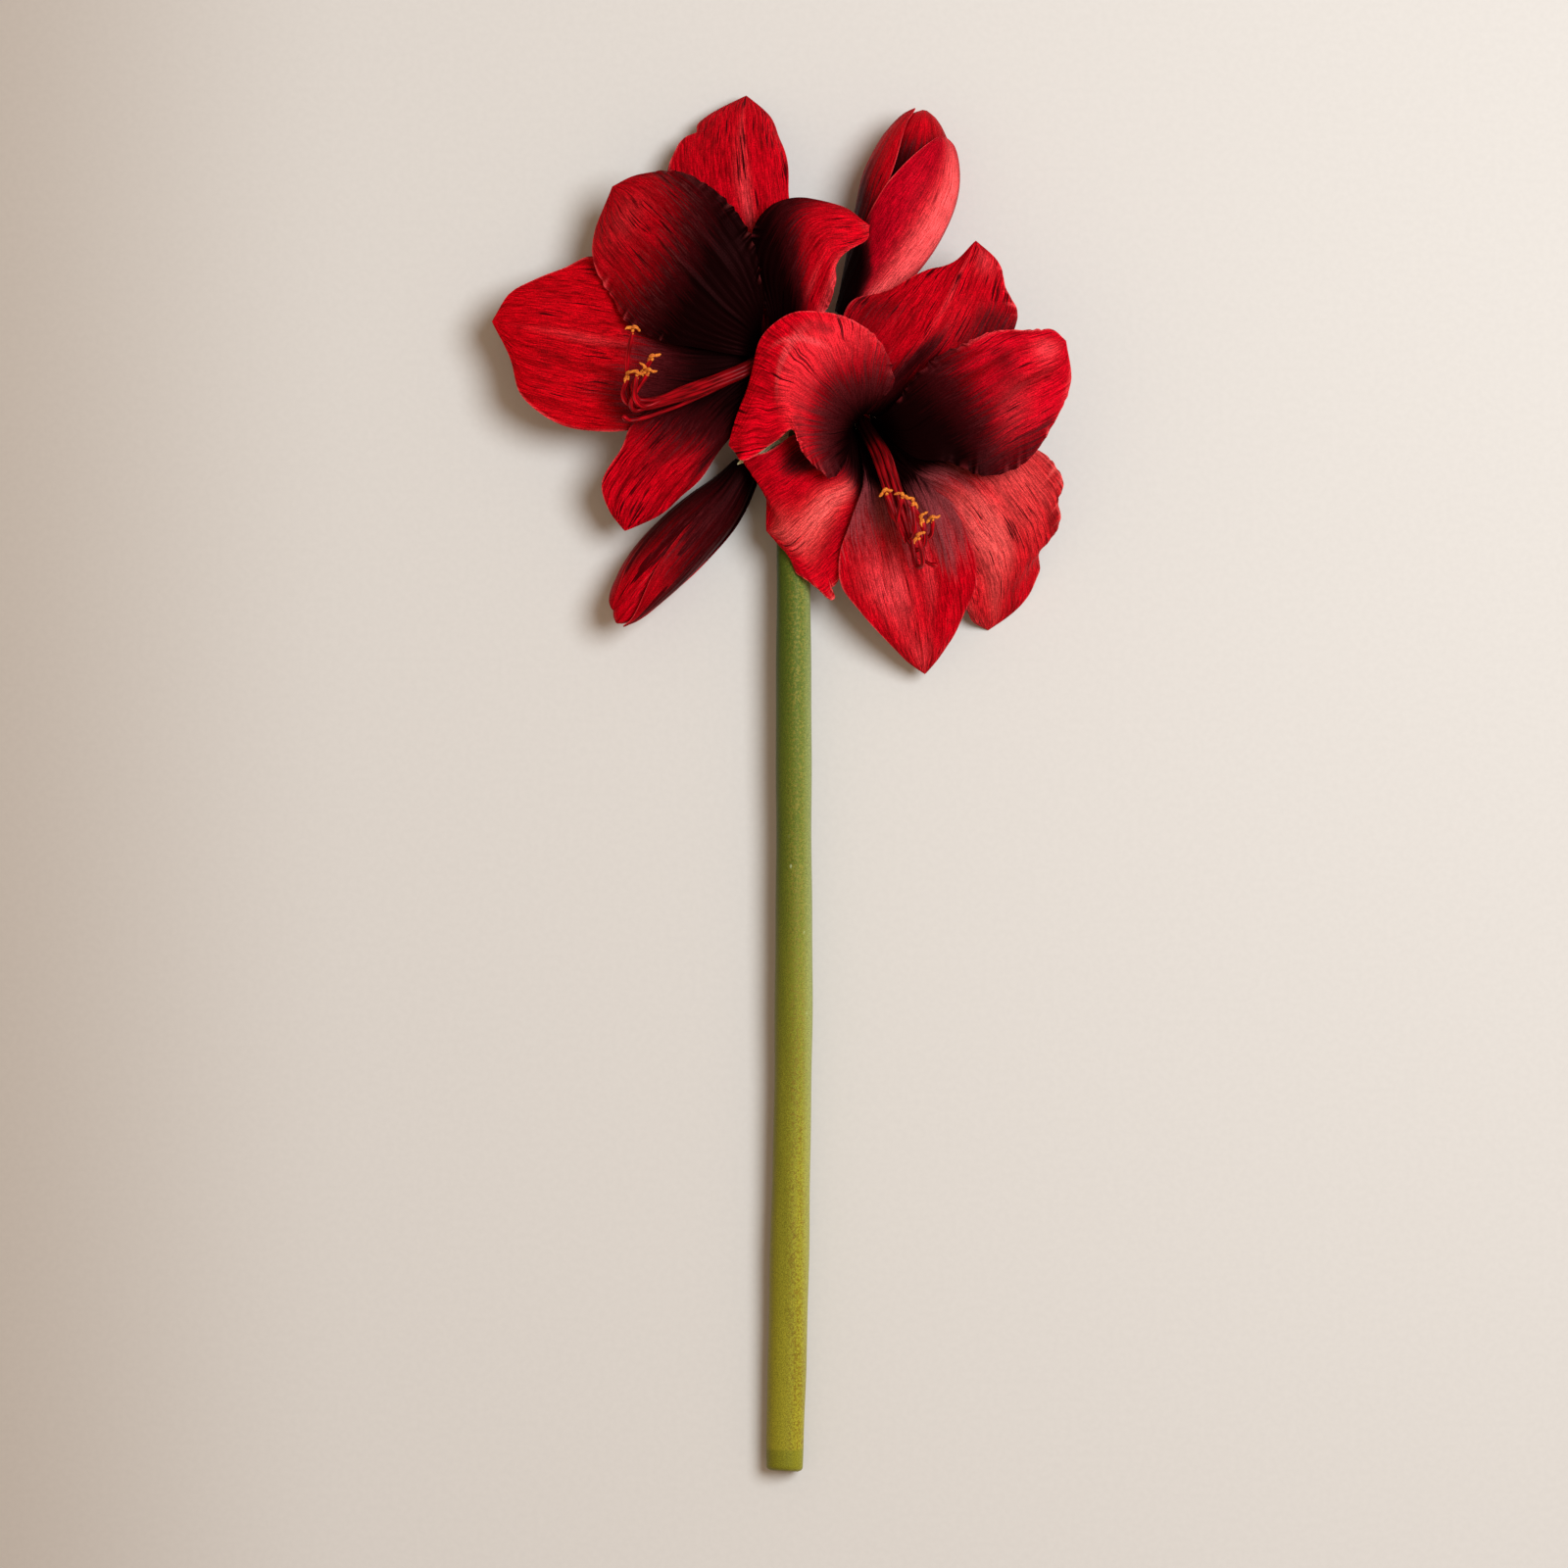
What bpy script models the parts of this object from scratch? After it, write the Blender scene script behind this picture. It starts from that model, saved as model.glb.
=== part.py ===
"""A cut amaryllis stem laid on a flat surface: a scape with two open blooms, two buds and a papery spathe.

The frame: +X to the right and +Y towards the blooms as the stem is seen from above, +Z up from the surface.
Places below are millimetres from the middle of the stem's outline, as they look from EYE_HEIGHT above it.
The last step centres the whole stem on the origin and stands its lowest points at Z = 0.
"""

import math
from dataclasses import dataclass

import bmesh
import bpy
import numpy as np

MM = 0.001
EYE_HEIGHT = 2400.0
EYE_FOCUS = 25.0

# Driving sizes, in millimetres
TEPAL_THICKNESS = 0.9
BUD_SEPAL_THICKNESS = 0.8
BUD_SEPAL_LIFT = 2.0
BUD_SEPAL_HALF_ANGLE = 66.0
BRACT_THICKNESS = 0.7
SEAT_GAP = 0.35
TUBE_DEPTH = 14.0
CLAW_RADIUS = 5.0
INNER_THROAT_RADIUS = 7.0
OUTER_THROAT_RADIUS = 8.6
CLAW_HALF_ANGLE = 26.0
INNER_THROAT_HALF_ANGLE = 26.5
OUTER_THROAT_HALF_ANGLE = 30.5
RECEPTACLE_RADIUS = CLAW_RADIUS - TEPAL_THICKNESS / 2 - SEAT_GAP
RECEPTACLE_TOP = 10.0
FLORAL_DISC_HEIGHT = 2.0
STALK_RADIUS = 3.3
OVARY_SWELL = 2.2
OVARY_DEPTH = TUBE_DEPTH + 8.0
FILAMENT_RADIUS = 0.85
FILAMENT_ROOT_RADIUS = 2.5
FILAMENT_SPREAD = 2.4
STYLE_RADIUS = 0.9
STYLE_ROOT_OFFSET = 1.0
STIGMA_RADIUS = 1.8
ANTHER_LENGTH = 7.0
ANTHER_RADIUS = 1.1

# Mesh fineness
TEPAL_ROWS = 20
BUD_ROWS = 11
BRACT_ROWS = 8
BLADE_COLUMNS = 7
BRACT_COLUMNS = 5

# Colours of the fresh flower
TEPAL_RED = (0.55, 0.01, 0.02)
BUD_RED = (0.45, 0.012, 0.025)
STALK_MAROON = (0.09, 0.025, 0.025)
FILAMENT_RED = (0.5, 0.01, 0.02)
SCAPE_GREEN = (0.24, 0.31, 0.05)
SPATHE_OLIVE = (0.42, 0.37, 0.16)


@dataclass(frozen=True)
class Tepal:
    """One petal or sepal: its angle round the throat, and the cross sections it is lofted through.

    Each section is (one edge, midrib, other edge). A frill is (height, waves, phase in degrees).
    """

    name: str
    angle: float
    inner: bool
    sections: tuple
    tip: tuple
    frill: tuple


@dataclass(frozen=True)
class Bloom:
    """An open flower: its throat, the way it faces, its tepals, its stalk and its stamens."""

    name: str
    throat: tuple
    axis: tuple
    stalk: tuple
    tepals: tuple
    bundle: tuple
    filaments: tuple
    style_angle: float
    style: tuple


@dataclass(frozen=True)
class Bud:
    """A closed bud: its stalk, its bent axis from base to tip, its girth and its three wrapped sepals.

    The sepals turn by the twist, in degrees, from base to tip. The hand says which edge of each is outside.
    """

    name: str
    stalk: tuple
    axis: tuple
    radii: tuple
    twist: float
    hand: int
    sepals: tuple


RIGHT_BLOOM = Bloom(
    name="right_bloom",
    throat=(40, 174, 34),
    axis=(0.17, -0.47, 0.87),
    stalk=((9.5, 173.6, 23.5), (9.5, 177, 23.5), (17, 187, 18.5), (27, 192, 10.5)),
    tepals=(
        Tepal(
            "top_sepal", 90, False,
            (
                ((36, 192, 46), (47, 192, 48), (61, 186, 47)),
                ((28, 216, 51), (58, 206, 55), (84, 203, 53)),
                ((33, 236, 52), (69, 221, 58), (106, 212, 52)),
                ((53, 243, 51), (79, 237, 57), (114, 229, 50)),
                ((71, 251, 49), (85, 249, 53), (109, 243, 48)),
                ((84, 256, 46), (90, 257.5, 48), (105.5, 255, 45)),
            ),
            (94, 266, 43.5), (1.2, 3.5, 40),
        ),
        Tepal(
            "upper_right_petal", 30, True,
            (
                ((54, 186, 54), (60, 172, 50), (64, 160, 51)),
                ((66, 202, 62), (77, 182, 57), (80, 158, 57)),
                ((86, 215, 66), (97, 193, 61), (98, 151, 59)),
                ((105, 222, 66), (113, 203, 63), (115, 155.5, 56)),
                ((122, 222, 64), (125, 208, 62), (129, 171, 55)),
                ((132, 222.5, 60), (134, 212, 60), (140.5, 195, 54)),
            ),
            (138, 217, 56), (1.5, 4.5, 0),
        ),
        Tepal(
            "lower_right_sepal", 330, False,
            (
                ((69, 161, 44), (60, 150, 41), (50, 142, 37)),
                ((97, 163, 47), (79, 137, 43), (60, 118, 35)),
                ((124, 164, 42), (93, 117, 35), (72, 102, 29)),
                ((137.5, 147, 33), (99, 106, 27), (78, 95, 24)),
                ((133.5, 127, 22), (102, 96, 20), (84, 89, 19)),
                ((123.5, 108, 11), (103, 86, 11), (90, 83, 12)),
                ((116, 88, 2), (103, 79.5, 4), (94, 79, 6)),
            ),
            (100, 75.5, 0.5), (1.5, 4.5, 90),
        ),
        Tepal(
            "lower_petal", 270, True,
            (
                ((39, 148, 45), (49, 147, 42), (64, 152, 46)),
                ((33, 130, 42), (54, 131, 40), (82, 136, 48)),
                ((27.5, 114, 35), (58, 115, 37), (92, 117, 42)),
                ((28, 97, 30), (62, 98, 34), (94.5, 99, 33)),
                ((38, 84, 27), (65, 84, 30), (88.5, 85, 25)),
                ((49, 72, 24), (67, 71, 25), (83, 71.5, 20)),
                ((60, 60, 17), (68.5, 60, 18), (76, 62, 14)),
            ),
            (69, 54, 12), (0.9, 3, 0),
        ),
        Tepal(
            "lower_left_sepal", 210, False,
            (
                ((20, 171, 38), (30, 152, 40), (42, 143, 36)),
                ((4, 170.5, 40), (17, 145, 42), (34, 122, 34)),
                ((-8, 162.5, 39), (8, 137, 40), (28, 104, 27)),
                ((-20.6, 157, 36), (0, 130, 36), (23.5, 90, 25)),
                ((-9, 144, 31), (-3, 127, 33), (13, 99, 29)),
            ),
            (-8.5, 124, 27), (1.4, 4.5, 30),
        ),
        Tepal(
            "upper_left_petal", 150, True,
            (
                ((30, 158, 46), (31, 175, 47), (43, 185, 53)),
                ((22, 150, 52), (21, 188, 57), (54, 197, 62)),
                ((9.5, 162, 57), (12, 199, 66), (46, 218, 68)),
                ((4, 174, 58), (1, 205, 70), (28, 229, 68)),
                ((-2, 170, 53), (-5, 202, 66), (6, 231.5, 65)),
                ((-12, 162, 47), (-13, 194, 58), (-7, 223, 59)),
                ((-21, 159, 42), (-20, 180, 48), (-17, 199, 51)),
            ),
            (-27, 166, 38), (1.4, 4.5, 60),
        ),
    ),
    bundle=((48, 160, 46), (53, 145, 52), (57.5, 130, 55)),
    filaments=(
        ((65, 107, 56), (68, 108, 62), (66, 121, 66)),
        ((59, 119, 53), (57, 124, 60), (50, 143, 62)),
        ((62, 121, 57.5), (64, 124, 63), (63, 138, 65)),
        ((64, 115, 54), (69, 118, 60), (68, 130, 63)),
        ((67, 120, 51.5), (72, 122, 55), (73, 130, 59)),
        ((57, 124, 58), (56, 131, 64), (58, 141, 68)),
    ),
    style_angle=292,
    style=(
        (48.5, 157, 41.5), (53.5, 143, 47), (59, 127, 48.5), (64.5, 113, 48), (71, 108, 49), (75, 107, 52),
    ),
)

LEFT_BLOOM = Bloom(
    name="left_bloom",
    throat=(-7, 212, 32),
    axis=(-0.47, -0.16, 0.87),
    stalk=((2.5, 173.6, 24), (2.5, 178, 24), (7, 194, 16.5), (12, 208, 10)),
    tepals=(
        Tepal(
            "top_sepal", 90, False,
            (
                ((-15, 231, 38), (-8, 236, 39), (-2, 235, 38)),
                ((-34, 260, 36), (-13, 266, 41), (3, 262, 38)),
                ((-57, 285, 27), (-17, 292, 36), (3.5, 285, 33)),
                ((-57, 302, 20), (-19, 309, 31), (1, 301, 28)),
                ((-48, 315.5, 15), (-20, 320, 24), (-1, 314, 22)),
                ((-37, 328, 11), (-19.5, 331, 16), (-6, 326, 14)),
            ),
            (-18.5, 337, 9), (1.3, 4, 200),
        ),
        Tepal(
            "upper_right_petal", 30, True,
            (
                ((-9, 233, 45.5), (0, 228, 44.5), (8, 221, 44)),
                ((-18, 256, 50), (2, 247, 55), (20, 231, 52)),
                ((-15, 272, 52), (9, 264, 60), (25, 244, 59)),
                ((-5, 284, 55), (17, 273, 61), (26, 254, 60)),
                ((11, 287.5, 57), (28, 275, 60), (31.5, 262, 59)),
                ((28, 281.5, 55), (35.5, 275, 57), (38.5, 267.5, 55)),
            ),
            (42, 273.5, 52), (1.2, 4, 30),
        ),
        Tepal(
            "lower_right_sepal", 330, False,
            (
                ((8, 213, 42), (-1, 203, 42), (-9, 197, 39)),
                ((16, 205, 46), (5, 194, 48), (-6, 185, 45)),
                ((22, 196, 45), (13, 183, 47), (3, 175, 44)),
                ((24, 186, 42), (18, 175, 44), (11, 169, 42)),
            ),
            (23, 168, 40), (0.8, 3, 0),
        ),
        Tepal(
            "lower_petal", 270, True,
            (
                ((-22, 204, 41), (-17, 197, 38), (-11, 189, 35)),
                ((-48, 190, 41), (-33, 182, 38), (-20, 180, 36)),
                ((-72, 179, 38), (-46, 166, 36), (-28, 168, 34)),
                ((-80, 164, 34), (-59, 153, 35), (-38, 153.5, 32)),
                ((-89, 148, 30), (-68, 142, 31), (-49, 142, 29)),
                ((-85.5, 133.5, 28), (-74, 132, 29), (-60, 132, 27)),
            ),
            (-78, 124, 26), (1.1, 4, 20),
        ),
        Tepal(
            "lower_left_sepal", 210, False,
            (
                ((-25, 218, 37), (-23, 209, 35), (-20, 198, 34)),
                ((-53, 232, 33), (-48, 210, 36), (-45, 185, 34)),
                ((-75, 252, 29), (-74, 215, 36), (-74, 174, 32)),
                ((-95, 258.5, 25), (-96, 218, 36), (-97, 173, 31)),
                ((-109, 252.5, 26.5), (-111, 221, 36), (-114, 178.5, 32)),
                ((-123, 246, 29.5), (-123, 223, 36), (-129, 191, 34)),
                ((-135, 239.5, 31), (-134.5, 225, 34), (-135, 210, 33)),
            ),
            (-143, 226.5, 32), (1.3, 3.5, 120),
        ),
        Tepal(
            "upper_left_petal", 150, True,
            (
                ((-20, 210, 42), (-17, 223, 46), (-10, 238, 54)),
                ((-46, 214.5, 44), (-31, 235, 53), (-14, 262, 58)),
                ((-68, 220, 42), (-48, 253, 57), (-21, 277, 60)),
                ((-82, 234, 38), (-61, 268, 55), (-35, 292, 58)),
                ((-91, 251, 33), (-71, 279, 48), (-54, 300, 50)),
                ((-92.5, 271, 29), (-78, 287, 41), (-71, 299, 42)),
            ),
            (-84, 292.5, 34), (1.5, 4.5, 0),
        ),
    ),
    bundle=((-17, 204, 46), (-32, 197.5, 50), (-50, 191, 50)),
    filaments=(
        ((-73, 185, 48), (-77, 203, 56), (-74, 223, 64)),
        ((-71, 186, 48), (-74, 194, 54), (-64, 209, 60)),
        ((-70, 188, 50), (-74, 195, 56), (-69, 203, 59)),
        ((-75, 186, 49), (-79, 191, 54), (-76, 200, 57)),
        ((-72, 183, 49), (-75, 187, 55), (-66, 202, 62)),
        ((-68, 185, 51), (-73, 189, 58), (-72, 201, 62)),
    ),
    style_angle=219,
    style=(
        (-18, 202, 41.5), (-32, 194, 45), (-50, 186, 45.5), (-65, 180.5, 45.5), (-75, 178, 46.5), (-79, 180, 50),
    ),
)

UPPER_BUD = Bud(
    name="upper_bud",
    stalk=((9.5, 173.6, 16), (9.5, 177, 16), (13, 190, 10), (20, 205, 11), (26, 217, 16)),
    axis=((31, 226, 20), (42, 246, 22), (54.3, 272, 23.6), (62.7, 298, 24), (69, 330, 24)),
    radii=(
        (0.0, 5), (0.12, 9.5), (0.3, 15), (0.5, 19.8), (0.68, 21), (0.84, 16.4), (0.94, 9.8), (1.0, 3),
    ),
    twist=-45,
    hand=1,
    sepals=(("front", 88, 0.9), ("left", 208, 1.0), ("under", 328, 0.98)),
)

LOWER_BUD = Bud(
    name="lower_bud",
    stalk=((2, 173.6, 16), (2, 176.5, 16), (-5, 182.5, 16), (-12.5, 178, 17), (-15, 167, 18)),
    axis=((-17, 157, 18), (-29, 140, 16), (-48.5, 120, 15.3), (-66.5, 100.5, 19.5), (-82, 79, 27)),
    radii=(
        (0.0, 4), (0.12, 7), (0.3, 11.2), (0.5, 12.8), (0.68, 12.3), (0.84, 9.4), (0.94, 6), (1.0, 2),
    ),
    twist=25,
    hand=-1,
    sepals=(("front", 130, 1.0), ("upper", 10, 0.97), ("under", 250, 0.96)),
)

# The scape: places on its middle line, and its half width there
SCAPE_LINE = (
    (0.2, -336.5, 8.6), (0.3, -334, 8.6), (0.5, -318, 8.7), (1.4, -288, 9.3), (3.1, -211, 11.3),
    (4.4, -144, 12.9), (4.8, -96, 14.1), (4.8, 0, 16.2), (4.7, 70, 17.9), (4.8, 120, 19.1),
    (5.4, 158, 19.8), (5.8, 173, 20.0),
)
SCAPE_HALF_WIDTHS = (6.6, 8.9, 9.4, 9.6, 9.4, 9.2, 9.1, 8.7, 8.5, 8.4, 8.6, 9.4)
SCAPE_FLATTENING = 0.96
SCAPE_RINGS = 17
SCAPE_SIDES = 16

SPATHE_LEFT = (
    ((6, 178, 29.6), (3, 173.5, 29.4), (2, 169, 29.0)),
    ((-3, 176.5, 32), (-4, 170.5, 31), (-5, 165.5, 27.5)),
    ((-12, 170, 33.5), (-13, 164.5, 33), (-12, 160, 30.5)),
)
SPATHE_LEFT_TIP = (-23, 156.5, 31)
SPATHE_RIGHT = (
    ((15, 172, 24), (15.6, 168, 20), (15, 164, 16)),
    ((22, 175, 22), (23, 165, 18), (19, 158, 12)),
    ((31, 164, 20), (29, 154, 15), (23, 147, 9)),
)
SPATHE_RIGHT_TIP = (36, 141, 9)


def material(name, colour, roughness):
    """A plain finish of one colour."""
    made = bpy.data.materials.new(name)
    made.use_nodes = True
    shader = made.node_tree.nodes["Principled BSDF"]
    shader.inputs["Base Color"].default_value = (*colour, 1.0)
    shader.inputs["Roughness"].default_value = roughness
    shader.inputs["Metallic"].default_value = 0.0
    return made


def unit(vector):
    """The vector at length 1."""
    vector = np.asarray(vector, float)
    return vector / np.linalg.norm(vector)


def chord_knots(points):
    """Distances along the points, as shares of the whole."""
    steps = np.linalg.norm(np.diff(points, axis=0), axis=1)
    along = np.concatenate([[0.0], np.cumsum(steps)])
    return along / along[-1]


def smooth_curve(points, shares, knots=None):
    """Points of a smooth curve through the given points, at these shares of its length."""
    points = np.asarray(points, float)
    knots = chord_knots(points) if knots is None else knots
    slopes = np.empty_like(points)
    slopes[1:-1] = (points[2:] - points[:-2]) / (knots[2:] - knots[:-2])[:, None]
    slopes[0] = (points[1] - points[0]) / (knots[1] - knots[0])
    slopes[-1] = (points[-1] - points[-2]) / (knots[-1] - knots[-2])
    shares = np.clip(np.asarray(shares, float), 0.0, 1.0)
    at = np.clip(np.searchsorted(knots, shares, side="right") - 1, 0, len(knots) - 2)
    span = (knots[at + 1] - knots[at])[:, None]
    t = (shares - knots[at])[:, None] / span
    start, end = points[at], points[at + 1]
    leave, arrive = slopes[at] * span, slopes[at + 1] * span
    return (
        start * (2 * t**3 - 3 * t**2 + 1)
        + leave * (t**3 - 2 * t**2 + t)
        + end * (3 * t**2 - 2 * t**3)
        + arrive * (t**3 - t**2)
    )


def carried_frames(line):
    """Two unit vectors square to the line at each of its points, carried along it without twist."""
    along = np.gradient(line, axis=0)
    along /= np.linalg.norm(along, axis=1)[:, None]
    side = unit(np.cross(along[0], (0.0, 0.0, 1.0)))
    sides, ups = [], []
    for direction in along:
        side = unit(side - direction * (side @ direction))
        sides.append(side)
        ups.append(np.cross(side, direction))
    return np.array(sides), np.array(ups)


def placed(points):
    """The points drawn in towards the middle as they rise, so that they look right from above."""
    points = np.array(points, float)
    points[..., :2] *= ((EYE_HEIGHT - points[..., 2]) / (EYE_HEIGHT - EYE_FOCUS))[..., None]
    return points


def shape_object(name, shape, origin, finish):
    """An object of the finished shape, shaded smooth, facing outwards, its origin where it grows."""
    bmesh.ops.recalc_face_normals(shape, faces=shape.faces)
    mesh = bpy.data.meshes.new(name)
    shape.to_mesh(mesh)
    shape.free()
    mesh.shade_smooth()
    mesh.materials.append(finish)
    made = bpy.data.objects.new(name, mesh)
    made.location = origin
    bpy.context.scene.collection.objects.link(made)
    return made


def blade_object(name, rows, thickness, finish):
    """A thin leaf-like blade: a grid laid on rows of points, ending in its tip, with a wall on it."""
    rows = placed(rows) * MM
    rows[..., 2] = np.maximum(rows[..., 2], (thickness / 2 + 0.02) * MM)
    origin = rows[0].mean(axis=0)
    last, columns = rows.shape[0] - 1, rows.shape[1] - 1
    shape = bmesh.new()
    bmesh.ops.create_grid(shape, x_segments=columns, y_segments=last, size=1.0)
    tip = []
    for vertex in shape.verts:
        i = round((vertex.co.y + 1) / 2 * last)
        j = round((vertex.co.x + 1) / 2 * columns)
        vertex.co = rows[i, j] - origin
        if i == last:
            tip.append(vertex)
    bmesh.ops.pointmerge(shape, verts=tip, merge_co=rows[last, 0] - origin)
    bmesh.ops.triangulate(shape, faces=shape.faces)
    made = shape_object(name, shape, origin, finish)
    wall = made.modifiers.new("wall", "SOLIDIFY")
    wall.thickness = thickness * MM
    wall.offset = 0.0
    return made


def stalk_object(name, line, radii, sides, finish, flattening=1.0):
    """A closed stalk: a round face extruded from ring to ring along a line, with flat ends."""
    side, up = carried_frames(np.asarray(line, float))
    turns = 2 * np.pi * np.arange(sides) / sides
    rings = np.array([
        centre + radius * (np.outer(np.cos(turns), s) + flattening * np.outer(np.sin(turns), u))
        for centre, radius, s, u in zip(line, radii, side, up)
    ])
    rings = placed(rings) * MM
    rings[..., 2] = np.maximum(rings[..., 2], 0.0)
    origin = rings[0].mean(axis=0)
    shape = bmesh.new()
    corner = shape.verts.layers.int.new("corner")
    ring = bmesh.ops.create_circle(shape, cap_ends=True, segments=sides, radius=1.0)["verts"]
    for k, vertex in enumerate(ring):
        vertex[corner] = k
        vertex.co = rings[0, k] - origin
    shape.faces.ensure_lookup_table()
    end = shape.faces[0]
    for number, places in enumerate(rings[1:]):
        grown = bmesh.ops.extrude_face_region(shape, geom=[end])["geom"]
        if number:
            bmesh.ops.delete(shape, geom=[end], context="FACES_ONLY")
        end = next(item for item in grown if isinstance(item, bmesh.types.BMFace))
        for vertex in end.verts:
            vertex.co = places[vertex[corner]] - origin
    return shape_object(name, shape, origin, finish)


def loft(sections, tip, count, columns=BLADE_COLUMNS, frill=(0.0, 1.0, 0.0)):
    """Rows of points of a blade lofted through its sections to its tip, with waves towards its edges."""
    sections = np.asarray(sections, float)
    tip = np.asarray(tip, float)
    knots = chord_knots(np.vstack([sections[:, 1], tip]))
    shares = np.linspace(0.0, 1.0, count)
    edge, rib, far = (
        smooth_curve(np.vstack([sections[:, k], tip]), shares, knots)[:, None, :] for k in range(3)
    )
    even = np.linspace(-1.0, 1.0, columns)
    v = (1.3 * even - 0.3 * even**3)[None, :, None]
    surface = rib + v * (far - edge) / 2 + v * v * ((far + edge) / 2 - rib)
    height, waves, phase = frill
    if height:
        normal = np.cross(np.gradient(surface, axis=0), np.gradient(surface, axis=1))
        normal /= np.linalg.norm(normal, axis=2)[..., None] + 1e-9
        u = shares[:, None]
        turn = 2 * math.pi * waves * u + math.radians(phase) + np.sign(v[..., 0]) * 0.9
        fade = np.clip((u - 0.3) / 0.2, 0, 1) * np.clip((1 - u) / 0.12, 0, 1)
        surface = surface + normal * (height * fade * np.abs(v[..., 0]) ** 3 * np.sin(turn))[..., None]
    return surface


def throat_frame(bloom):
    """The flower's axis, and the two directions square to it: towards the top sepal, and to its right."""
    axis = unit(bloom.axis)
    up = unit(np.array([0.0, 1.0, 0.0]) - axis * axis[1])
    return axis, up, np.cross(up, axis)


def round_throat(bloom, angle):
    """The direction from the flower's axis at this angle, in degrees, round it."""
    _, up, right = throat_frame(bloom)
    radians = math.radians(angle)
    return math.cos(radians) * right + math.sin(radians) * up


def tepal_turns_clockwise(bloom, tepal):
    """Whether the tepal's sections run from one edge to the other clockwise round the flower's axis."""
    axis, _, _ = throat_frame(bloom)
    edge, rib, far = np.asarray(tepal.sections[0], float)
    outward = rib - np.array(bloom.throat, float)
    return np.cross(outward, far - edge) @ axis < 0


def claw_section(bloom, tepal, depth, radius, half_angle):
    """A tepal's section in the tube, where its claw stands on a ring round the flower's axis."""
    axis, _, _ = throat_frame(bloom)
    centre = np.array(bloom.throat, float) - axis * depth
    turn = -half_angle if tepal_turns_clockwise(bloom, tepal) else half_angle
    angles = (tepal.angle - turn, tepal.angle, tepal.angle + turn)
    return [centre + radius * round_throat(bloom, angle) for angle in angles]


def build_tepal(bloom, tepal, finish):
    """One tepal, from its claw in the tube to its tip."""
    radius = INNER_THROAT_RADIUS if tepal.inner else OUTER_THROAT_RADIUS
    half_angle = INNER_THROAT_HALF_ANGLE if tepal.inner else OUTER_THROAT_HALF_ANGLE
    claw = claw_section(bloom, tepal, TUBE_DEPTH, CLAW_RADIUS, CLAW_HALF_ANGLE)
    throat = claw_section(bloom, tepal, 0.0, radius, half_angle)
    rows = loft((claw, throat, *tepal.sections), tepal.tip, TEPAL_ROWS + 1, frill=tepal.frill)
    blade_object(f"{bloom.name}_{tepal.name}", rows, TEPAL_THICKNESS, finish)


def build_pedicel(bloom, finish):
    """The flower's stalk, swelling to the ovary and ending in the receptacle inside the claws."""
    axis, _, _ = throat_frame(bloom)
    throat = np.array(bloom.throat, float)
    ends = [throat - axis * depth for depth in (OVARY_DEPTH + 2, TUBE_DEPTH + 2, RECEPTACLE_TOP)]
    line = smooth_curve([*bloom.stalk, *ends], np.linspace(0, 1, 16))
    neck = np.linalg.norm(line - throat, axis=1)
    ovary = np.exp(-(((neck - OVARY_DEPTH) / 5.0) ** 2))
    receptacle = np.clip((OVARY_DEPTH - neck) / 6, 0, 1)
    radii = STALK_RADIUS + OVARY_SWELL * ovary + (RECEPTACLE_RADIUS - STALK_RADIUS) * receptacle
    stalk_object(f"{bloom.name}_pedicel", line, radii, 10, finish)


def join_all(base, pieces):
    """Joins the pieces to the base in one solid, and removes them."""
    gathered = bpy.data.collections.new(base.name + "_repeats")
    bpy.context.scene.collection.children.link(gathered)
    for piece in pieces:
        bpy.context.scene.collection.objects.unlink(piece)
        gathered.objects.link(piece)
    union = base.modifiers.new("union", "BOOLEAN")
    union.operand_type = "COLLECTION"
    union.collection = gathered
    union.operation = "UNION"
    union.solver = "MANIFOLD"
    bpy.context.view_layer.update()
    joined = bpy.data.meshes.new_from_object(base.evaluated_get(bpy.context.evaluated_depsgraph_get()))
    base.modifiers.clear()
    base.data = joined
    for piece in pieces:
        bpy.data.objects.remove(piece)
    bpy.data.collections.remove(gathered)


def build_stamens(bloom, finish):
    """Six filaments with their anthers, rooted in the floral disc at the bottom of the tube."""
    axis, _, _ = throat_frame(bloom)
    floor = np.array(bloom.throat, float) - axis * (RECEPTACLE_TOP - SEAT_GAP)
    disc_line = (floor, floor + axis * FLORAL_DISC_HEIGHT)
    disc = stalk_object(f"{bloom.name}_stamens", disc_line, (3.9, 3.7), 12, finish)
    pieces = []
    for number, ends in enumerate(bloom.filaments):
        sideways = round_throat(bloom, bloom.style_angle + 60 + 48 * number)
        root = floor + axis * 0.7 + sideways * FILAMENT_ROOT_RADIUS
        leaving = floor + axis * 9 + sideways * FILAMENT_ROOT_RADIUS
        middle = [np.array(place, float) + sideways * FILAMENT_SPREAD for place in bloom.bundle]
        line = smooth_curve([root, leaving, *middle, *ends], np.linspace(0, 1, 12))
        radii = np.full(len(line), FILAMENT_RADIUS)
        pieces.append(stalk_object(f"filament_{number}", line, radii, 5, finish))
        pieces.append(build_anther(number, ends, finish))
    join_all(disc, pieces)


def build_anther(number, ends, finish):
    """An anther, hung by its middle across the end of its filament."""
    last = np.array(ends[-1], float)
    heading = unit(last - np.array(ends[-2], float))
    across = unit(np.cross(heading, (0.3, 0.2, 1.0)))
    line, girth = [], []
    for reach, share in ((-1.0, 0.5), (-0.5, 1.0), (0.5, 1.0), (1.0, 0.5)):
        droop = 1.2 * (1 - reach**2) - 0.6
        line.append(last + across * ANTHER_LENGTH / 2 * reach + heading * droop)
        girth.append(ANTHER_RADIUS * share)
    return stalk_object(f"anther_{number}", line, girth, 4, finish)


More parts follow.
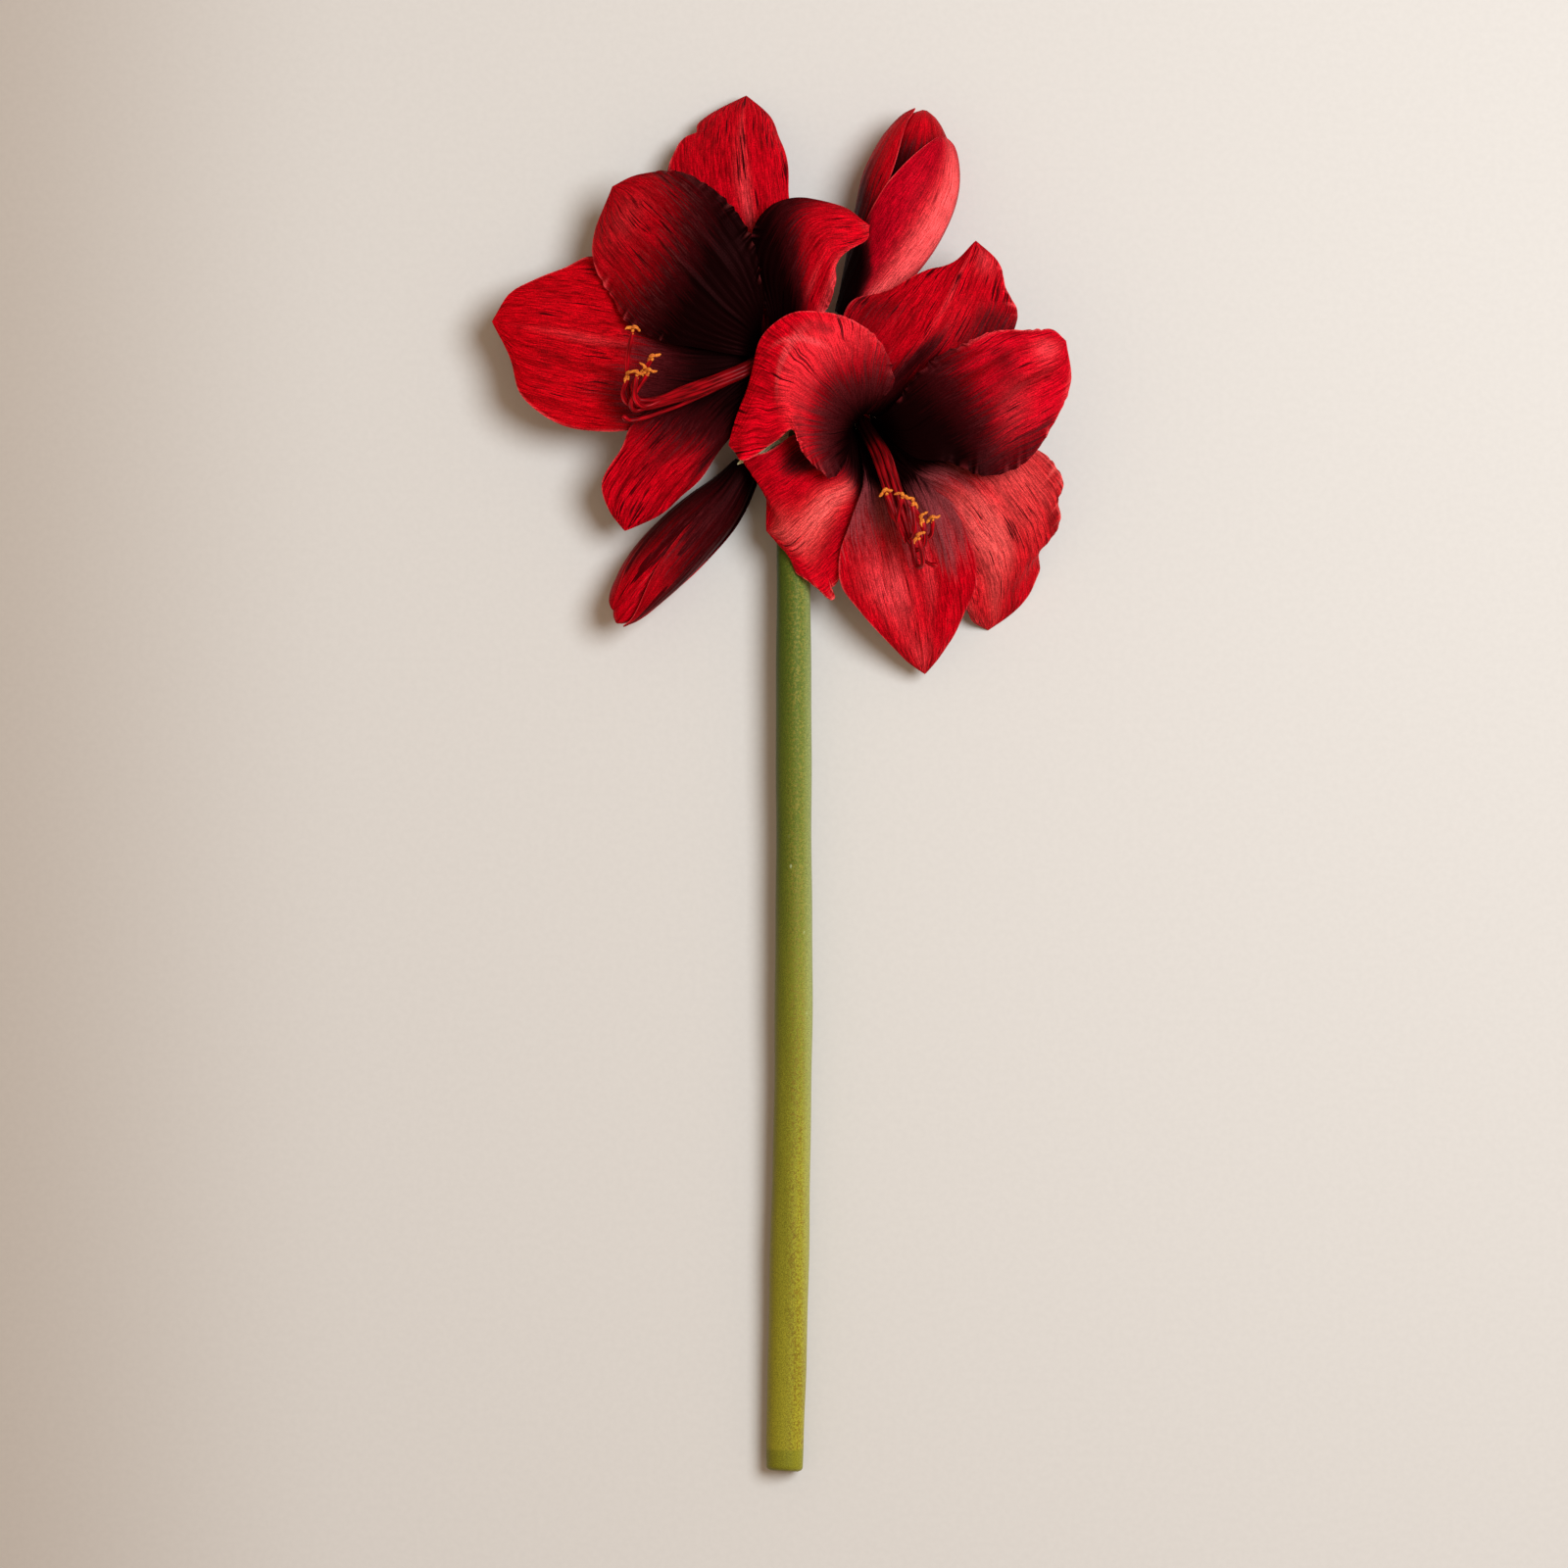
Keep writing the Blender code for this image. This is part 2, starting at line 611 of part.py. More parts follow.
def build_style(bloom, finish):
    """The style, from the floral disc to its stigma."""
    axis, _, _ = throat_frame(bloom)
    depth = RECEPTACLE_TOP - 2 * SEAT_GAP - FLORAL_DISC_HEIGHT
    start = np.array(bloom.throat, float) - axis * depth
    start += STYLE_ROOT_OFFSET * round_throat(bloom, bloom.style_angle)
    line = smooth_curve([start, start + axis * 8, *bloom.style], np.linspace(0, 1, 14))
    radii = np.full(len(line), STYLE_RADIUS)
    radii[-2:] = (STYLE_RADIUS * 1.2, STIGMA_RADIUS)
    stalk_object(f"{bloom.name}_style", line, radii, 6, finish)


def build_bloom(bloom, finishes):
    """All the pieces of one open flower."""
    build_pedicel(bloom, finishes["stalk"])
    for tepal in bloom.tepals:
        build_tepal(bloom, tepal, finishes["tepal"])
    build_stamens(bloom, finishes["filament"])
    build_style(bloom, finishes["filament"])


def bud_girth(bud, shares):
    """The bud's radius at shares of its length."""
    at, radius = zip(*bud.radii)
    return smooth_curve([(r, 0, 0) for r in radius], shares, np.array(at))[:, 0]


def build_bud_sepal(bud, name, angle, reach, finish):
    """One of the three sepals wrapped round a bud: one edge lies over its neighbour, the other under."""
    shares = np.linspace(0.02, reach, BUD_ROWS + 1)
    line = smooth_curve(bud.axis, shares)
    side, up = carried_frames(line)
    girth = bud_girth(bud, shares)
    rows = []
    for i, share in enumerate(shares):
        closing = (share - shares[0]) / (reach - shares[0])
        half = BUD_SEPAL_HALF_ANGLE * (1 - closing**5) ** 0.5
        row = []
        for v in np.linspace(-1, 1, BLADE_COLUMNS):
            over = v * (closing < 1)
            turn = math.radians(angle + bud.twist * closing + half * v)
            radius = girth[i] + BUD_SEPAL_LIFT + bud.hand * over
            row.append(line[i] + radius * (math.cos(turn) * side[i] + math.sin(turn) * up[i]))
        rows.append(row)
    blade_object(f"{bud.name}_{name}_sepal", rows, BUD_SEPAL_THICKNESS, finish)


def build_bud(bud, finishes):
    """A bud's stalk, its furled petals and the sepals round them."""
    base = np.array(bud.axis[0], float)
    heading = unit(np.array(bud.axis[1], float) - base)
    ends = (base - heading * 4.5, base - heading * (SEAT_GAP + 0.1))
    stalk_line = smooth_curve([*bud.stalk, *ends], np.linspace(0, 1, 13))
    radii = np.linspace(STALK_RADIUS, 4.0, len(stalk_line))
    stalk_object(f"{bud.name}_pedicel", stalk_line, radii, 10, finishes["stalk"])
    shares = np.linspace(0.0, 1.0, 13)
    line = smooth_curve(bud.axis, shares)
    stalk_object(f"{bud.name}_furled_petals", line, bud_girth(bud, shares), 12, finishes["bud"])
    for name, angle, reach in bud.sepals:
        build_bud_sepal(bud, name, angle, reach, finishes["bud"])


def build_scape(finish):
    """The green leafless stalk, its cut end rounded off, resting on that end."""
    knots = chord_knots(np.array(SCAPE_LINE, float))
    shares = np.concatenate([knots[:2], np.linspace(knots[2], 1, SCAPE_RINGS - 2)])
    line = smooth_curve(SCAPE_LINE, shares)
    radii = np.interp(shares, knots, SCAPE_HALF_WIDTHS)
    stalk_object("scape", line, radii, SCAPE_SIDES, finish, SCAPE_FLATTENING)


def build_spathe(finish):
    """The two dry bracts that once held the buds, bent back at the top of the scape."""
    for name, sections, tip in (
        ("spathe_left", SPATHE_LEFT, SPATHE_LEFT_TIP),
        ("spathe_right", SPATHE_RIGHT, SPATHE_RIGHT_TIP),
    ):
        blade_object(name, loft(sections, tip, BRACT_ROWS + 1, BRACT_COLUMNS), BRACT_THICKNESS, finish)


def settle():
    """Parents every piece to the stem, centred on the origin with its lowest point at Z = 0."""
    bpy.context.view_layer.update()
    graph = bpy.context.evaluated_depsgraph_get()
    pieces = list(bpy.context.scene.objects)
    places = []
    for piece in pieces:
        shape = piece.evaluated_get(graph)
        places += [tuple(piece.matrix_world @ vertex.co) for vertex in shape.data.vertices]
    low, high = np.min(places, axis=0), np.max(places, axis=0)
    stem = bpy.data.objects.new("stem", None)
    bpy.context.scene.collection.objects.link(stem)
    for piece in pieces:
        piece.parent = stem
    stem.location = (-(low[0] + high[0]) / 2, -(low[1] + high[1]) / 2, -low[2])


def main():
    for old in list(bpy.data.objects):
        bpy.data.objects.remove(old)
    finishes = {
        "tepal": material("tepal", TEPAL_RED, 0.55),
        "bud": material("bud", BUD_RED, 0.5),
        "stalk": material("stalk", STALK_MAROON, 0.6),
        "filament": material("filament", FILAMENT_RED, 0.4),
        "scape": material("scape", SCAPE_GREEN, 0.5),
        "spathe": material("spathe", SPATHE_OLIVE, 0.7),
    }
    build_scape(finishes["scape"])
    build_spathe(finishes["spathe"])
    for bloom in (LEFT_BLOOM, RIGHT_BLOOM):
        build_bloom(bloom, finishes)
    for bud in (UPPER_BUD, LOWER_BUD):
        build_bud(bud, finishes)
    settle()


main()
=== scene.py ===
"""A cut amaryllis stem as it looks: two open blooms and two buds on a green scape, laid on a pale floor.

Places are millimetres from the middle of the stem's outline, +X to the right, +Y towards the blooms and +Z
up, as they look from EYE_HEIGHT above the floor. placed() turns them into metres in the frame of the part.
"""

import logging
import math
from dataclasses import dataclass, replace
from enum import Enum

import bpy
import numpy as np
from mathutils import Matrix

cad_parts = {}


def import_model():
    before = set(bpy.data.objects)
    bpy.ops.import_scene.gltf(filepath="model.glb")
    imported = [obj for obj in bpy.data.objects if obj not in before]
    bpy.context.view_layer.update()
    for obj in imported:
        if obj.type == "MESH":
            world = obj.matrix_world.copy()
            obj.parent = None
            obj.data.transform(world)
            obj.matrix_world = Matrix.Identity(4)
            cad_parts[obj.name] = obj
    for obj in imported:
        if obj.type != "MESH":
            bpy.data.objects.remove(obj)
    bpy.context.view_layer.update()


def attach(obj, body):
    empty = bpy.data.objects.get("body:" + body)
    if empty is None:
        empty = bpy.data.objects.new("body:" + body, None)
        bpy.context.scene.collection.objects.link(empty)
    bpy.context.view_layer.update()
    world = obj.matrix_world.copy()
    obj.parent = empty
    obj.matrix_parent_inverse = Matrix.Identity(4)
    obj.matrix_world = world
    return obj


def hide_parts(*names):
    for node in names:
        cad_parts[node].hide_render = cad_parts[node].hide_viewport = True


log = logging.getLogger("amaryllis")

Place = tuple[float, float, float]
Section = tuple[Place, Place, Place]
Colour = tuple[float, float, float]
Ramp = tuple[float, ...]
Piece = bpy.types.Object
Socket = bpy.types.NodeSocket
Node = bpy.types.Node
Material = bpy.types.Material
Array = np.ndarray

MM = 0.001
BODY = "root"

# The eye's height, the height where places keep their size, the width seen there, and the shift from the
# outline's middle to the frame of the part, in millimetres
EYE_HEIGHT = 2400.0
EYE_FOCUS = 25.0
FRAME_WIDTH = 768.0
STEM_SHIFT = (1.77, 0.06, 0.0)

# Sizes shared by the pieces, in millimetres, with half angles in degrees
TEPAL_WALL = 0.55
BUD_WALL = 0.6
BRACT_WALL = 0.5
FLOOR_CLEARANCE = 0.02
TUBE_DEPTH = 14.0
CLAW_RADIUS = 5.0
INNER_THROAT_RADIUS = 7.0
OUTER_THROAT_RADIUS = 8.6
CLAW_HALF_ANGLE = 26.0
INNER_THROAT_HALF_ANGLE = 26.5
OUTER_THROAT_HALF_ANGLE = 30.5
RECEPTACLE_RADIUS = 4.2
RECEPTACLE_TOP = 10.0
RECEPTACLE_LENGTH = 6.0
DISC_DEPTH = RECEPTACLE_TOP - 0.35
STYLE_DEPTH = RECEPTACLE_TOP - 2.7
STALK_RADIUS = 3.3
STALK_END_RADIUS = 4.0
OVARY_SWELL = 2.2
OVARY_LENGTH = 5.0
OVARY_DEPTH = TUBE_DEPTH + 8.0
STALK_MARGIN = 2.0

# The fan of veins round a throat: its start and span in degrees, its reach in millimetres, and the share of
# the map that it leaves free at each side
FAN_START = 60.0
FAN_SPAN = 200.0
FAN_REACH = 90.0
FAN_MARGIN = 0.08

# How far a tepal's veins keep beside its midrib instead of meeting at its tip
PARALLEL_VEINS = 0.8

# How softly the painted shade on a bud's furled petals fades in where they lie under its sepals, in
# millimetres
TIP_FADE = 14.0

# Shares of a blade's length: where its tip draws everything in, and where the slow waves of its edges come
# and go
TIP_CLOSING = 0.04
FRILL_START = 0.3
FRILL_RISE = 0.2
FRILL_FALL = 0.12

# How far apart the slow waves of the two edges are, as an angle
FRILL_OFFSET = 0.9

# How much closer together the columns of a blade lie at its edges
EDGE_CROWDING = 0.3

# Powers of the place across a blade: the higher, the closer a relief keeps to the edge or the ribs run to it
FRILL_DEPTH = 3
LOBE_DEPTH = 5
RIB_DEPTH = 6

# Angles between neighbouring faces that are shaded as one smooth surface, in degrees
BLADE_SMOOTH = 60.0
TUBE_SMOOTH = 70.0

# Where the first ring of a rounded end lies, in rings from its tip
END_RING = 0.6

# Places along a stalk or core and faces round it
PEDICEL_POINTS = 48
BUD_STALK_POINTS = 40
STALK_SIDES = 24
CORE_POINTS = 90
CORE_SIDES = 40


def unit(vector: Array) -> Array:
    """The vector at length 1."""
    vector = np.asarray(vector, float)
    return vector / np.linalg.norm(vector)


def unit_rows(vectors: Array) -> Array:
    """Each vector of the last axis at length 1, or 0 where it has no length."""
    return vectors / np.maximum(np.linalg.norm(vectors, axis=-1, keepdims=True), 1e-9)


def smooth_step(value: Array, low: float, high: float) -> Array:
    """Rises smoothly from 0 at low to 1 at high."""
    share = np.clip((value - low) / (high - low), 0.0, 1.0)
    return share * share * (3 - 2 * share)


def stretch(value: Array, start: float, end: float, ease: float) -> Array:
    """1 between start and end and 0 outside them, easing in and out."""
    return smooth_step(value, start, start + ease) * smooth_step(-value, -end, ease - end)


def bowed(near: Array, middle: Array, far: Array, across: Array) -> Array:
    """The value at across, bent through the near edge's at -1, the midrib's at 0 and the far edge's at 1."""
    return middle + across * (far - near) / 2 + across**2 * ((far + near) / 2 - middle)


def run_along(points: Array) -> Array:
    """The distance along the points at each of them."""
    steps = np.linalg.norm(np.diff(points, axis=0), axis=1)
    return np.concatenate([[0.0], np.cumsum(steps)])


def chord_shares(points: Array) -> Array:
    """Distances along the points, as shares of the whole."""
    along = run_along(points)
    return along / along[-1]


def smooth_curve(points: Array, shares: Array, knots: Array | None = None) -> Array:
    """Points of a smooth curve through the given ones.

    Args:
        points: the places that the curve passes.
        shares: where to read the curve, from 0 at its start to 1 at its end.
        knots: the share of the curve at each place, by distance if left out.

    Returns:
        One point for each share.
    """
    points = np.asarray(points, float)
    knots = chord_shares(points) if knots is None else knots
    slopes = np.empty_like(points)
    slopes[1:-1] = (points[2:] - points[:-2]) / (knots[2:] - knots[:-2])[:, None]
    slopes[0] = (points[1] - points[0]) / (knots[1] - knots[0])
    slopes[-1] = (points[-1] - points[-2]) / (knots[-1] - knots[-2])
    shares = np.clip(np.asarray(shares, float), 0.0, 1.0)
    at = np.clip(np.searchsorted(knots, shares, side="right") - 1, 0, len(knots) - 2)
    span = (knots[at + 1] - knots[at])[:, None]
    t = (shares - knots[at])[:, None] / span
    start, end = points[at], points[at + 1]
    leave, arrive = slopes[at] * span, slopes[at + 1] * span
    return (
        start * (2 * t**3 - 3 * t**2 + 1)
        + leave * (t**3 - 2 * t**2 + t)
        + end * (3 * t**2 - 2 * t**3)
        + arrive * (t**3 - t**2)
    )


def carried_frames(line: Array) -> tuple[Array, Array]:
    """Two unit vectors square to a line at each of its points, carried along it without twist.

    Args:
        line: places on the line.

    Returns:
        The sideways vectors and the upward ones.
    """
    along = unit_rows(np.gradient(line, axis=0))
    side = unit(np.cross(along[0], (0.0, 0.0, 1.0)))
    sides, ups = [], []
    for direction in along:
        side = unit(side - direction * (side @ direction))
        sides.append(side)
        ups.append(np.cross(side, direction))
    return np.array(sides), np.array(ups)


def placed(points: Array, lowest: float = 0.0) -> Array:
    """Millimetres as seen from above, turned into metres in the frame of the part.

    Args:
        points: places on the last axis.
        lowest: the least height that a point may have, in millimetres.

    Returns:
        The places, drawn in towards the middle as they rise, and moved with the stem.
    """
    points = np.array(points, float)
    points[..., :2] *= ((EYE_HEIGHT - points[..., 2]) / (EYE_HEIGHT - EYE_FOCUS))[..., None]
    points[..., 2] = np.maximum(points[..., 2], lowest)
    return (points + np.array(STEM_SHIFT)) * MM


class Slot(Enum):
    """The material slots of the part's record."""

    TEPAL = "tepal"
    BUD = "bud"
    STALK = "stalk"
    FILAMENT = "filament"
    SCAPE = "scape"
    SPATHE = "spathe"


class Side(Enum):
    """The two edges of a blade: the one that its sections start at, and the far one."""

    NEAR = -1
    FAR = 1


class Tone(Enum):
    """What a patch turns a blade's red towards. Dark patches are its own maroon in places and painted shade
    and shadow in others; coral ones are partly painted sheen highlights.
    """

    DARK = "shade"
    CORAL = "blush_and_highlight"


NEAR, FAR = Side
DARK, CORAL = Tone


def deselect_all() -> None:
    """Leaves nothing selected, so that an operator works on its own piece alone."""
    for obj in bpy.context.selected_objects:
        obj.select_set(False)


def choose(*pieces: Piece) -> None:
    """Makes these pieces the only ones selected, and the first of them the active one.

    Args:
        pieces: the pieces.
    """
    deselect_all()
    for piece in pieces:
        piece.select_set(True)
    bpy.context.view_layer.objects.active = pieces[0]


def corner_points(piece: Piece) -> Array:
    """The number of the point at each face corner.

    Args:
        piece: the piece.

    Returns:
        One number for each corner.
    """
    corners = np.empty(len(piece.data.loops), np.int32)
    piece.data.loops.foreach_get("vertex_index", corners)
    return corners


def point_places(piece: Piece) -> Array:
    """The place of each point.

    Args:
        piece: the piece.

    Returns:
        Metres, one row for each point.
    """
    flat = np.empty(len(piece.data.vertices) * 3)
    piece.data.vertices.foreach_get("co", flat)
    return flat.reshape(-1, 3)


def laid_sheet(name: str, places: Array, across: Array, along: Array) -> Piece:
    """A grid added at full size and laid on rows of places, with doubled points merged.

    Args:
        name: the name of the piece.
        places: metres, indexed by row and column.
        across: the map's first coordinate of each column.
        along: the map's second coordinate of each row.

    Returns:
        The piece, with its own map named blade.
    """
    rows, columns = places.shape[:2]
    deselect_all()
    bpy.ops.mesh.primitive_grid_add(
        x_subdivisions=columns - 1, y_subdivisions=rows - 1, size=2.0, calc_uvs=True
    )
    piece = bpy.context.object
    piece.name = name
    mesh = piece.data
    mesh.name = name
    flat = point_places(piece)
    row = np.rint((flat[:, 1] + 1) / 2 * (rows - 1)).astype(int)
    column = np.rint((flat[:, 0] + 1) / 2 * (columns - 1)).astype(int)
    mesh.vertices.foreach_set("co", places[row, column].ravel())
    layer = mesh.uv_layers[0]
    layer.name = "blade"
    layer.data.foreach_set("uv", np.stack([across[column], along[row]], 1)[corner_points(piece)].ravel())
    mesh.update()
    bpy.ops.object.mode_set(mode="EDIT")
    bpy.ops.mesh.select_all(action="SELECT")
    bpy.ops.mesh.remove_doubles(threshold=1e-6)
    bpy.ops.object.mode_set(mode="OBJECT")
    return piece


def face_outwards(piece: Piece) -> None:
    """Turns the faces of a closed piece outwards.

    Args:
        piece: the piece.
    """
    choose(piece)
    bpy.ops.object.mode_set(mode="EDIT")
    bpy.ops.mesh.select_all(action="SELECT")
    bpy.ops.mesh.normals_make_consistent(inside=False)
    bpy.ops.object.mode_set(mode="OBJECT")


def walled(piece: Piece, wall: float) -> None:
    """Gives a sheet its wall, half on each side.

    Args:
        piece: the sheet.
        wall: the thickness, in millimetres.
    """
    choose(piece)
    modifier = piece.modifiers.new("wall", "SOLIDIFY")
    modifier.thickness = wall * MM
    modifier.offset = 0.0
    bpy.ops.object.modifier_apply(modifier=modifier.name)
    bpy.ops.object.shade_smooth_by_angle(angle=math.radians(BLADE_SMOOTH))


def tube(name: str, line: Array, radii: Array, sides: int, flattening: float = 1.0) -> Piece:
    """A round stalk along a line, closed to a point at both ends.

    Args:
        name: the name of the piece.
        line: places on its middle, in millimetres.
        radii: its radius at each place; the end ones are closed over.
        sides: faces round it.
        flattening: its height over its width.

    Returns:
        The closed piece.
    """
    side, up = carried_frames(line)
    turns = 2 * np.pi * np.arange(sides + 1) / sides
    rings = [
        centre + radius * (np.outer(np.cos(turns), s) + flattening * np.outer(np.sin(turns), u))
        for centre, radius, s, u in zip(line, radii, side, up)
    ]
    starts, ends = (np.repeat(line[[at]], sides + 1, axis=0) for at in (0, -1))
    places = placed(np.array([starts, *rings, ends]))
    piece = laid_sheet(name, places, turns / (2 * np.pi), np.linspace(0, 1, len(places)))
    face_outwards(piece)
    bpy.ops.object.shade_smooth_by_angle(angle=math.radians(TUBE_SMOOTH))
    return piece


def rounded_ends(radii: Array, rings: int = 3) -> Array:
    """The radii with their first and last few drawn in, as on a rounded end.

    Args:
        radii: the radii along a stalk.
        rings: how many are drawn in at each end.

    Returns:
        The new radii.
    """
    radii = np.array(radii, float)
    for ring in range(rings):
        share = math.sin(math.pi / 2 * (ring + END_RING) / (rings + END_RING))
        radii[ring] *= share
        radii[-1 - ring] *= share
    return radii


def joined(name: str, pieces: list[Piece]) -> Piece:
    """Several pieces made one object.

    Args:
        name: its name.
        pieces: the pieces.

    Returns:
        The object.
    """
    choose(*pieces)
    bpy.ops.object.join()
    pieces[0].name = name
    pieces[0].data.name = name
    return pieces[0]


def store(piece: Piece, name: str, values: Array) -> None:
    """Keeps one number for each point of the piece under this name."""
    attribute = piece.data.attributes.new(name, "FLOAT", "POINT")
    attribute.data.foreach_set("value", np.asarray(values, np.float32))


def hand_over(piece: Piece, slot: Slot, finish: Material, *nodes: str) -> None:
    """Dresses a piece, and puts it on the body in place of its nodes.

    Args:
        piece: the finished piece.
        slot: the record's slot that its finish comes from; not used.
        finish: its material.
        nodes: the solids that it stands for.
    """
    piece.data.materials.clear()
    piece.data.materials.append(finish)
    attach(piece, BODY)
    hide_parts(*nodes)
    log.info("%s: %d faces", piece.name, len(piece.data.polygons))


class Graph:
    """The nodes of one material or group, added and linked by short calls.

    What an input is fed is a socket of another node, a number or a colour.
    """

    def __init__(self, tree: bpy.types.NodeTree) -> None:
        """Keeps the tree that the nodes go into."""
        self.tree = tree

    def feed(self, node: Node, inputs: dict[int | str, object]) -> None:
        """Links a node's inputs, or sets their values.

        Args:
            node: the node.
            inputs: what each input is fed, by its number or name.
        """
        for key, value in inputs.items():
            socket = node.inputs[key]
            if isinstance(value, bpy.types.NodeSocket):
                self.tree.links.new(value, socket)
            else:
                socket.default_value = (*value, 1.0) if socket.type == "RGBA" else value

    def add(self, kind: str, inputs: dict[int | str, object] | None = None, **settings: object) -> Node:
        """A new node.

        Args:
            kind: its type.
            inputs: what each input is fed, by its number or name.
            settings: its settings, made before it is fed.

        Returns:
            The node.
        """
        node = self.tree.nodes.new(kind)
        for name, value in settings.items():
            setattr(node, name, value)
        self.feed(node, inputs or {})
        return node

    def arithmetic(self, operation: str, *values: object) -> Socket:
        """The result of one step of arithmetic."""
        return self.add("ShaderNodeMath", dict(enumerate(values)), operation=operation).outputs[0]

    def plus(self, first: object, second: object) -> Socket:
        """Two values added."""
        return self.arithmetic("ADD", first, second)

    def minus(self, first: object, second: object) -> Socket:
        """The second value taken from the first."""
        return self.arithmetic("SUBTRACT", first, second)

    def times(self, first: object, second: object) -> Socket:
        """Two values multiplied."""
        return self.arithmetic("MULTIPLY", first, second)

    def swing(self, noise: Socket, size: float) -> Socket:
        """Noise made to swing about 0, by half of size each way."""
        return self.times(self.minus(noise, 0.5), size)

    def weighed(self, first: Socket, share: float, second: Socket, other: float) -> Socket:
        """Two values added, each times its own number."""
        return self.plus(self.times(first, share), self.times(second, other))

    def spread(self, value: object, *ramp: object) -> Socket:
        """The value carried smoothly from one range to another, and held in it.

        Args:
            value: the value.
            ramp: the range it comes from, then the one it is carried to, 0 to 1 if left out.

        Returns:
            The new value.
        """
        inputs = (value, *ramp) if len(ramp) == 4 else (value, *ramp, 0.0, 1.0)
        node = self.add("ShaderNodeMapRange", dict(enumerate(inputs)), interpolation_type="SMOOTHSTEP")
        return node.outputs[0]

    def mix(self, share: object, first: object, second: object) -> Socket:
        """Two colours mixed."""
        return self.add("ShaderNodeMix", {0: share, 6: first, 7: second}, data_type="RGBA").outputs[2]

    def vector(self, x: object, y: object, z: object) -> Socket:
        """Three numbers as one vector."""
        return self.add("ShaderNodeCombineXYZ", {0: x, 1: y, 2: z}).outputs[0]

    def cells(self, x: Socket, y: Socket, z: object, across: float, along: float) -> Socket:
        """The place that noise reads, with this many cells across and along."""
        return self.vector(self.times(x, across), self.times(y, along), z)

    def parts(self, vector: Socket) -> tuple[Socket, ...]:
        """The three numbers of a vector."""
        return tuple(self.add("ShaderNodeSeparateXYZ", {0: vector}).outputs)

    def scaled(self, colour: object, factor: object) -> Socket:
        """A colour made lighter or darker."""
        return self.add("ShaderNodeVectorMath", {0: colour, "Scale": factor}, operation="SCALE").outputs[0]

    def noise(
        self, vector: Socket, detail: float = 2.0, roughness: float = 0.5, scale: object = 1.0
    ) -> Socket:
        """Smooth noise between 0 and 1."""
        inputs = {"Vector": vector, "Scale": scale, "Detail": detail, "Roughness": roughness}
        return self.add("ShaderNodeTexNoise", inputs).outputs[0]

    def mark(self, name: str) -> Socket:
        """The number kept under this name for each point of the piece."""
        return self.add("ShaderNodeAttribute", attribute_name=name).outputs["Fac"]

    def blade(self) -> Socket:
        """The place on the piece's own map."""
        return self.add("ShaderNodeUVMap", uv_map="blade").outputs[0]

    def place(self) -> Socket:
        """The place in the frame of the part, in metres."""
        return self.add("ShaderNodeTexCoord").outputs["Object"]


FLOAT, VECTOR = "NodeSocketFloat", "NodeSocketVector"


def new_group(
    name: str, inputs: dict[str, tuple[str, object]], outputs: tuple[str, ...]
) -> tuple[Graph, Node, Node]:
    """An empty shader group with named sockets.

    Args:
        name: the group's name.
        inputs: each input's socket kind and value.
        outputs: the names of the numbers that it gives.

    Returns:
        Its graph, its input node and its output node.
    """
    tree = bpy.data.node_groups.new(name, "ShaderNodeTree")
    for label, (kind, value) in inputs.items():
        socket = tree.interface.new_socket(label, in_out="INPUT", socket_type=kind)
        if value is not None:
            socket.default_value = value
    for label in outputs:
        tree.interface.new_socket(label, in_out="OUTPUT", socket_type=FLOAT)
    graph = Graph(tree)
    return graph, graph.add("NodeGroupInput"), graph.add("NodeGroupOutput")


@dataclass(frozen=True)
class VeinPattern:
    """The veins of a blade: broken dark streaks that run its length, and the fine ridges between them.

    Streaks are counted across and along the blade, and each pair of cells is a share of them. A streak shows
    where its noise is over a cut, which is lower where veins bunch together.
    """

    drift_cells: tuple[float, float] = (3.0, 4.0)
    drift: float = 0.05
    bunch_cells: tuple[float, float] = (0.16, 0.5)
    bunched: Ramp = (0.38, 0.62)
    ridge_cells: tuple[float, float] = (1.1, 0.7)
    fibre_cells: tuple[float, float] = (2.0, 3.0)
    highest_cut: float = 0.72
    cut_range: float = 0.26
    cut_edge: float = 0.09
    detail: float = 2.0
    roughness: float = 0.6

    def group(self) -> bpy.types.NodeTree:
        """The veins as a shader group.

        Returns:
            The group, which gives the streaks, the ridges, the fibres and the patches where veins bunch.
        """
        sockets = {
            "Map": (VECTOR, None), "Across": (FLOAT, 40.0), "Along": (FLOAT, 6.0),
            "Seed": (FLOAT, 0.0), "Amount": (FLOAT, 0.5),
        }
        graph, given, out = new_group("lengthwise veins", sockets, ("Streaks", "Ridges", "Fibres", "Patches"))
        x, y, _ = graph.parts(given.outputs["Map"])
        seed = given.outputs["Seed"]
        drift = graph.swing(graph.noise(graph.cells(x, y, seed, *self.drift_cells)), self.drift)
        across = graph.times(graph.plus(x, drift), given.outputs["Across"])
        along = graph.times(y, given.outputs["Along"])
        lines = graph.noise(graph.vector(across, along, seed), self.detail, self.roughness)
        patches = graph.noise(graph.cells(across, along, seed, *self.bunch_cells))
        ridges = graph.noise(graph.cells(across, along, seed, *self.ridge_cells))
        fibres = graph.noise(graph.cells(across, along, seed, *self.fibre_cells), self.detail, self.roughness)
        wanted = graph.times(graph.spread(patches, *self.bunched), given.outputs["Amount"])
        cut = graph.minus(self.highest_cut, graph.times(wanted, self.cut_range))
        streaks = graph.spread(lines, cut, graph.plus(cut, self.cut_edge))
        graph.feed(out, {"Streaks": streaks, "Ridges": ridges, "Fibres": fibres, "Patches": patches})
        return graph.tree


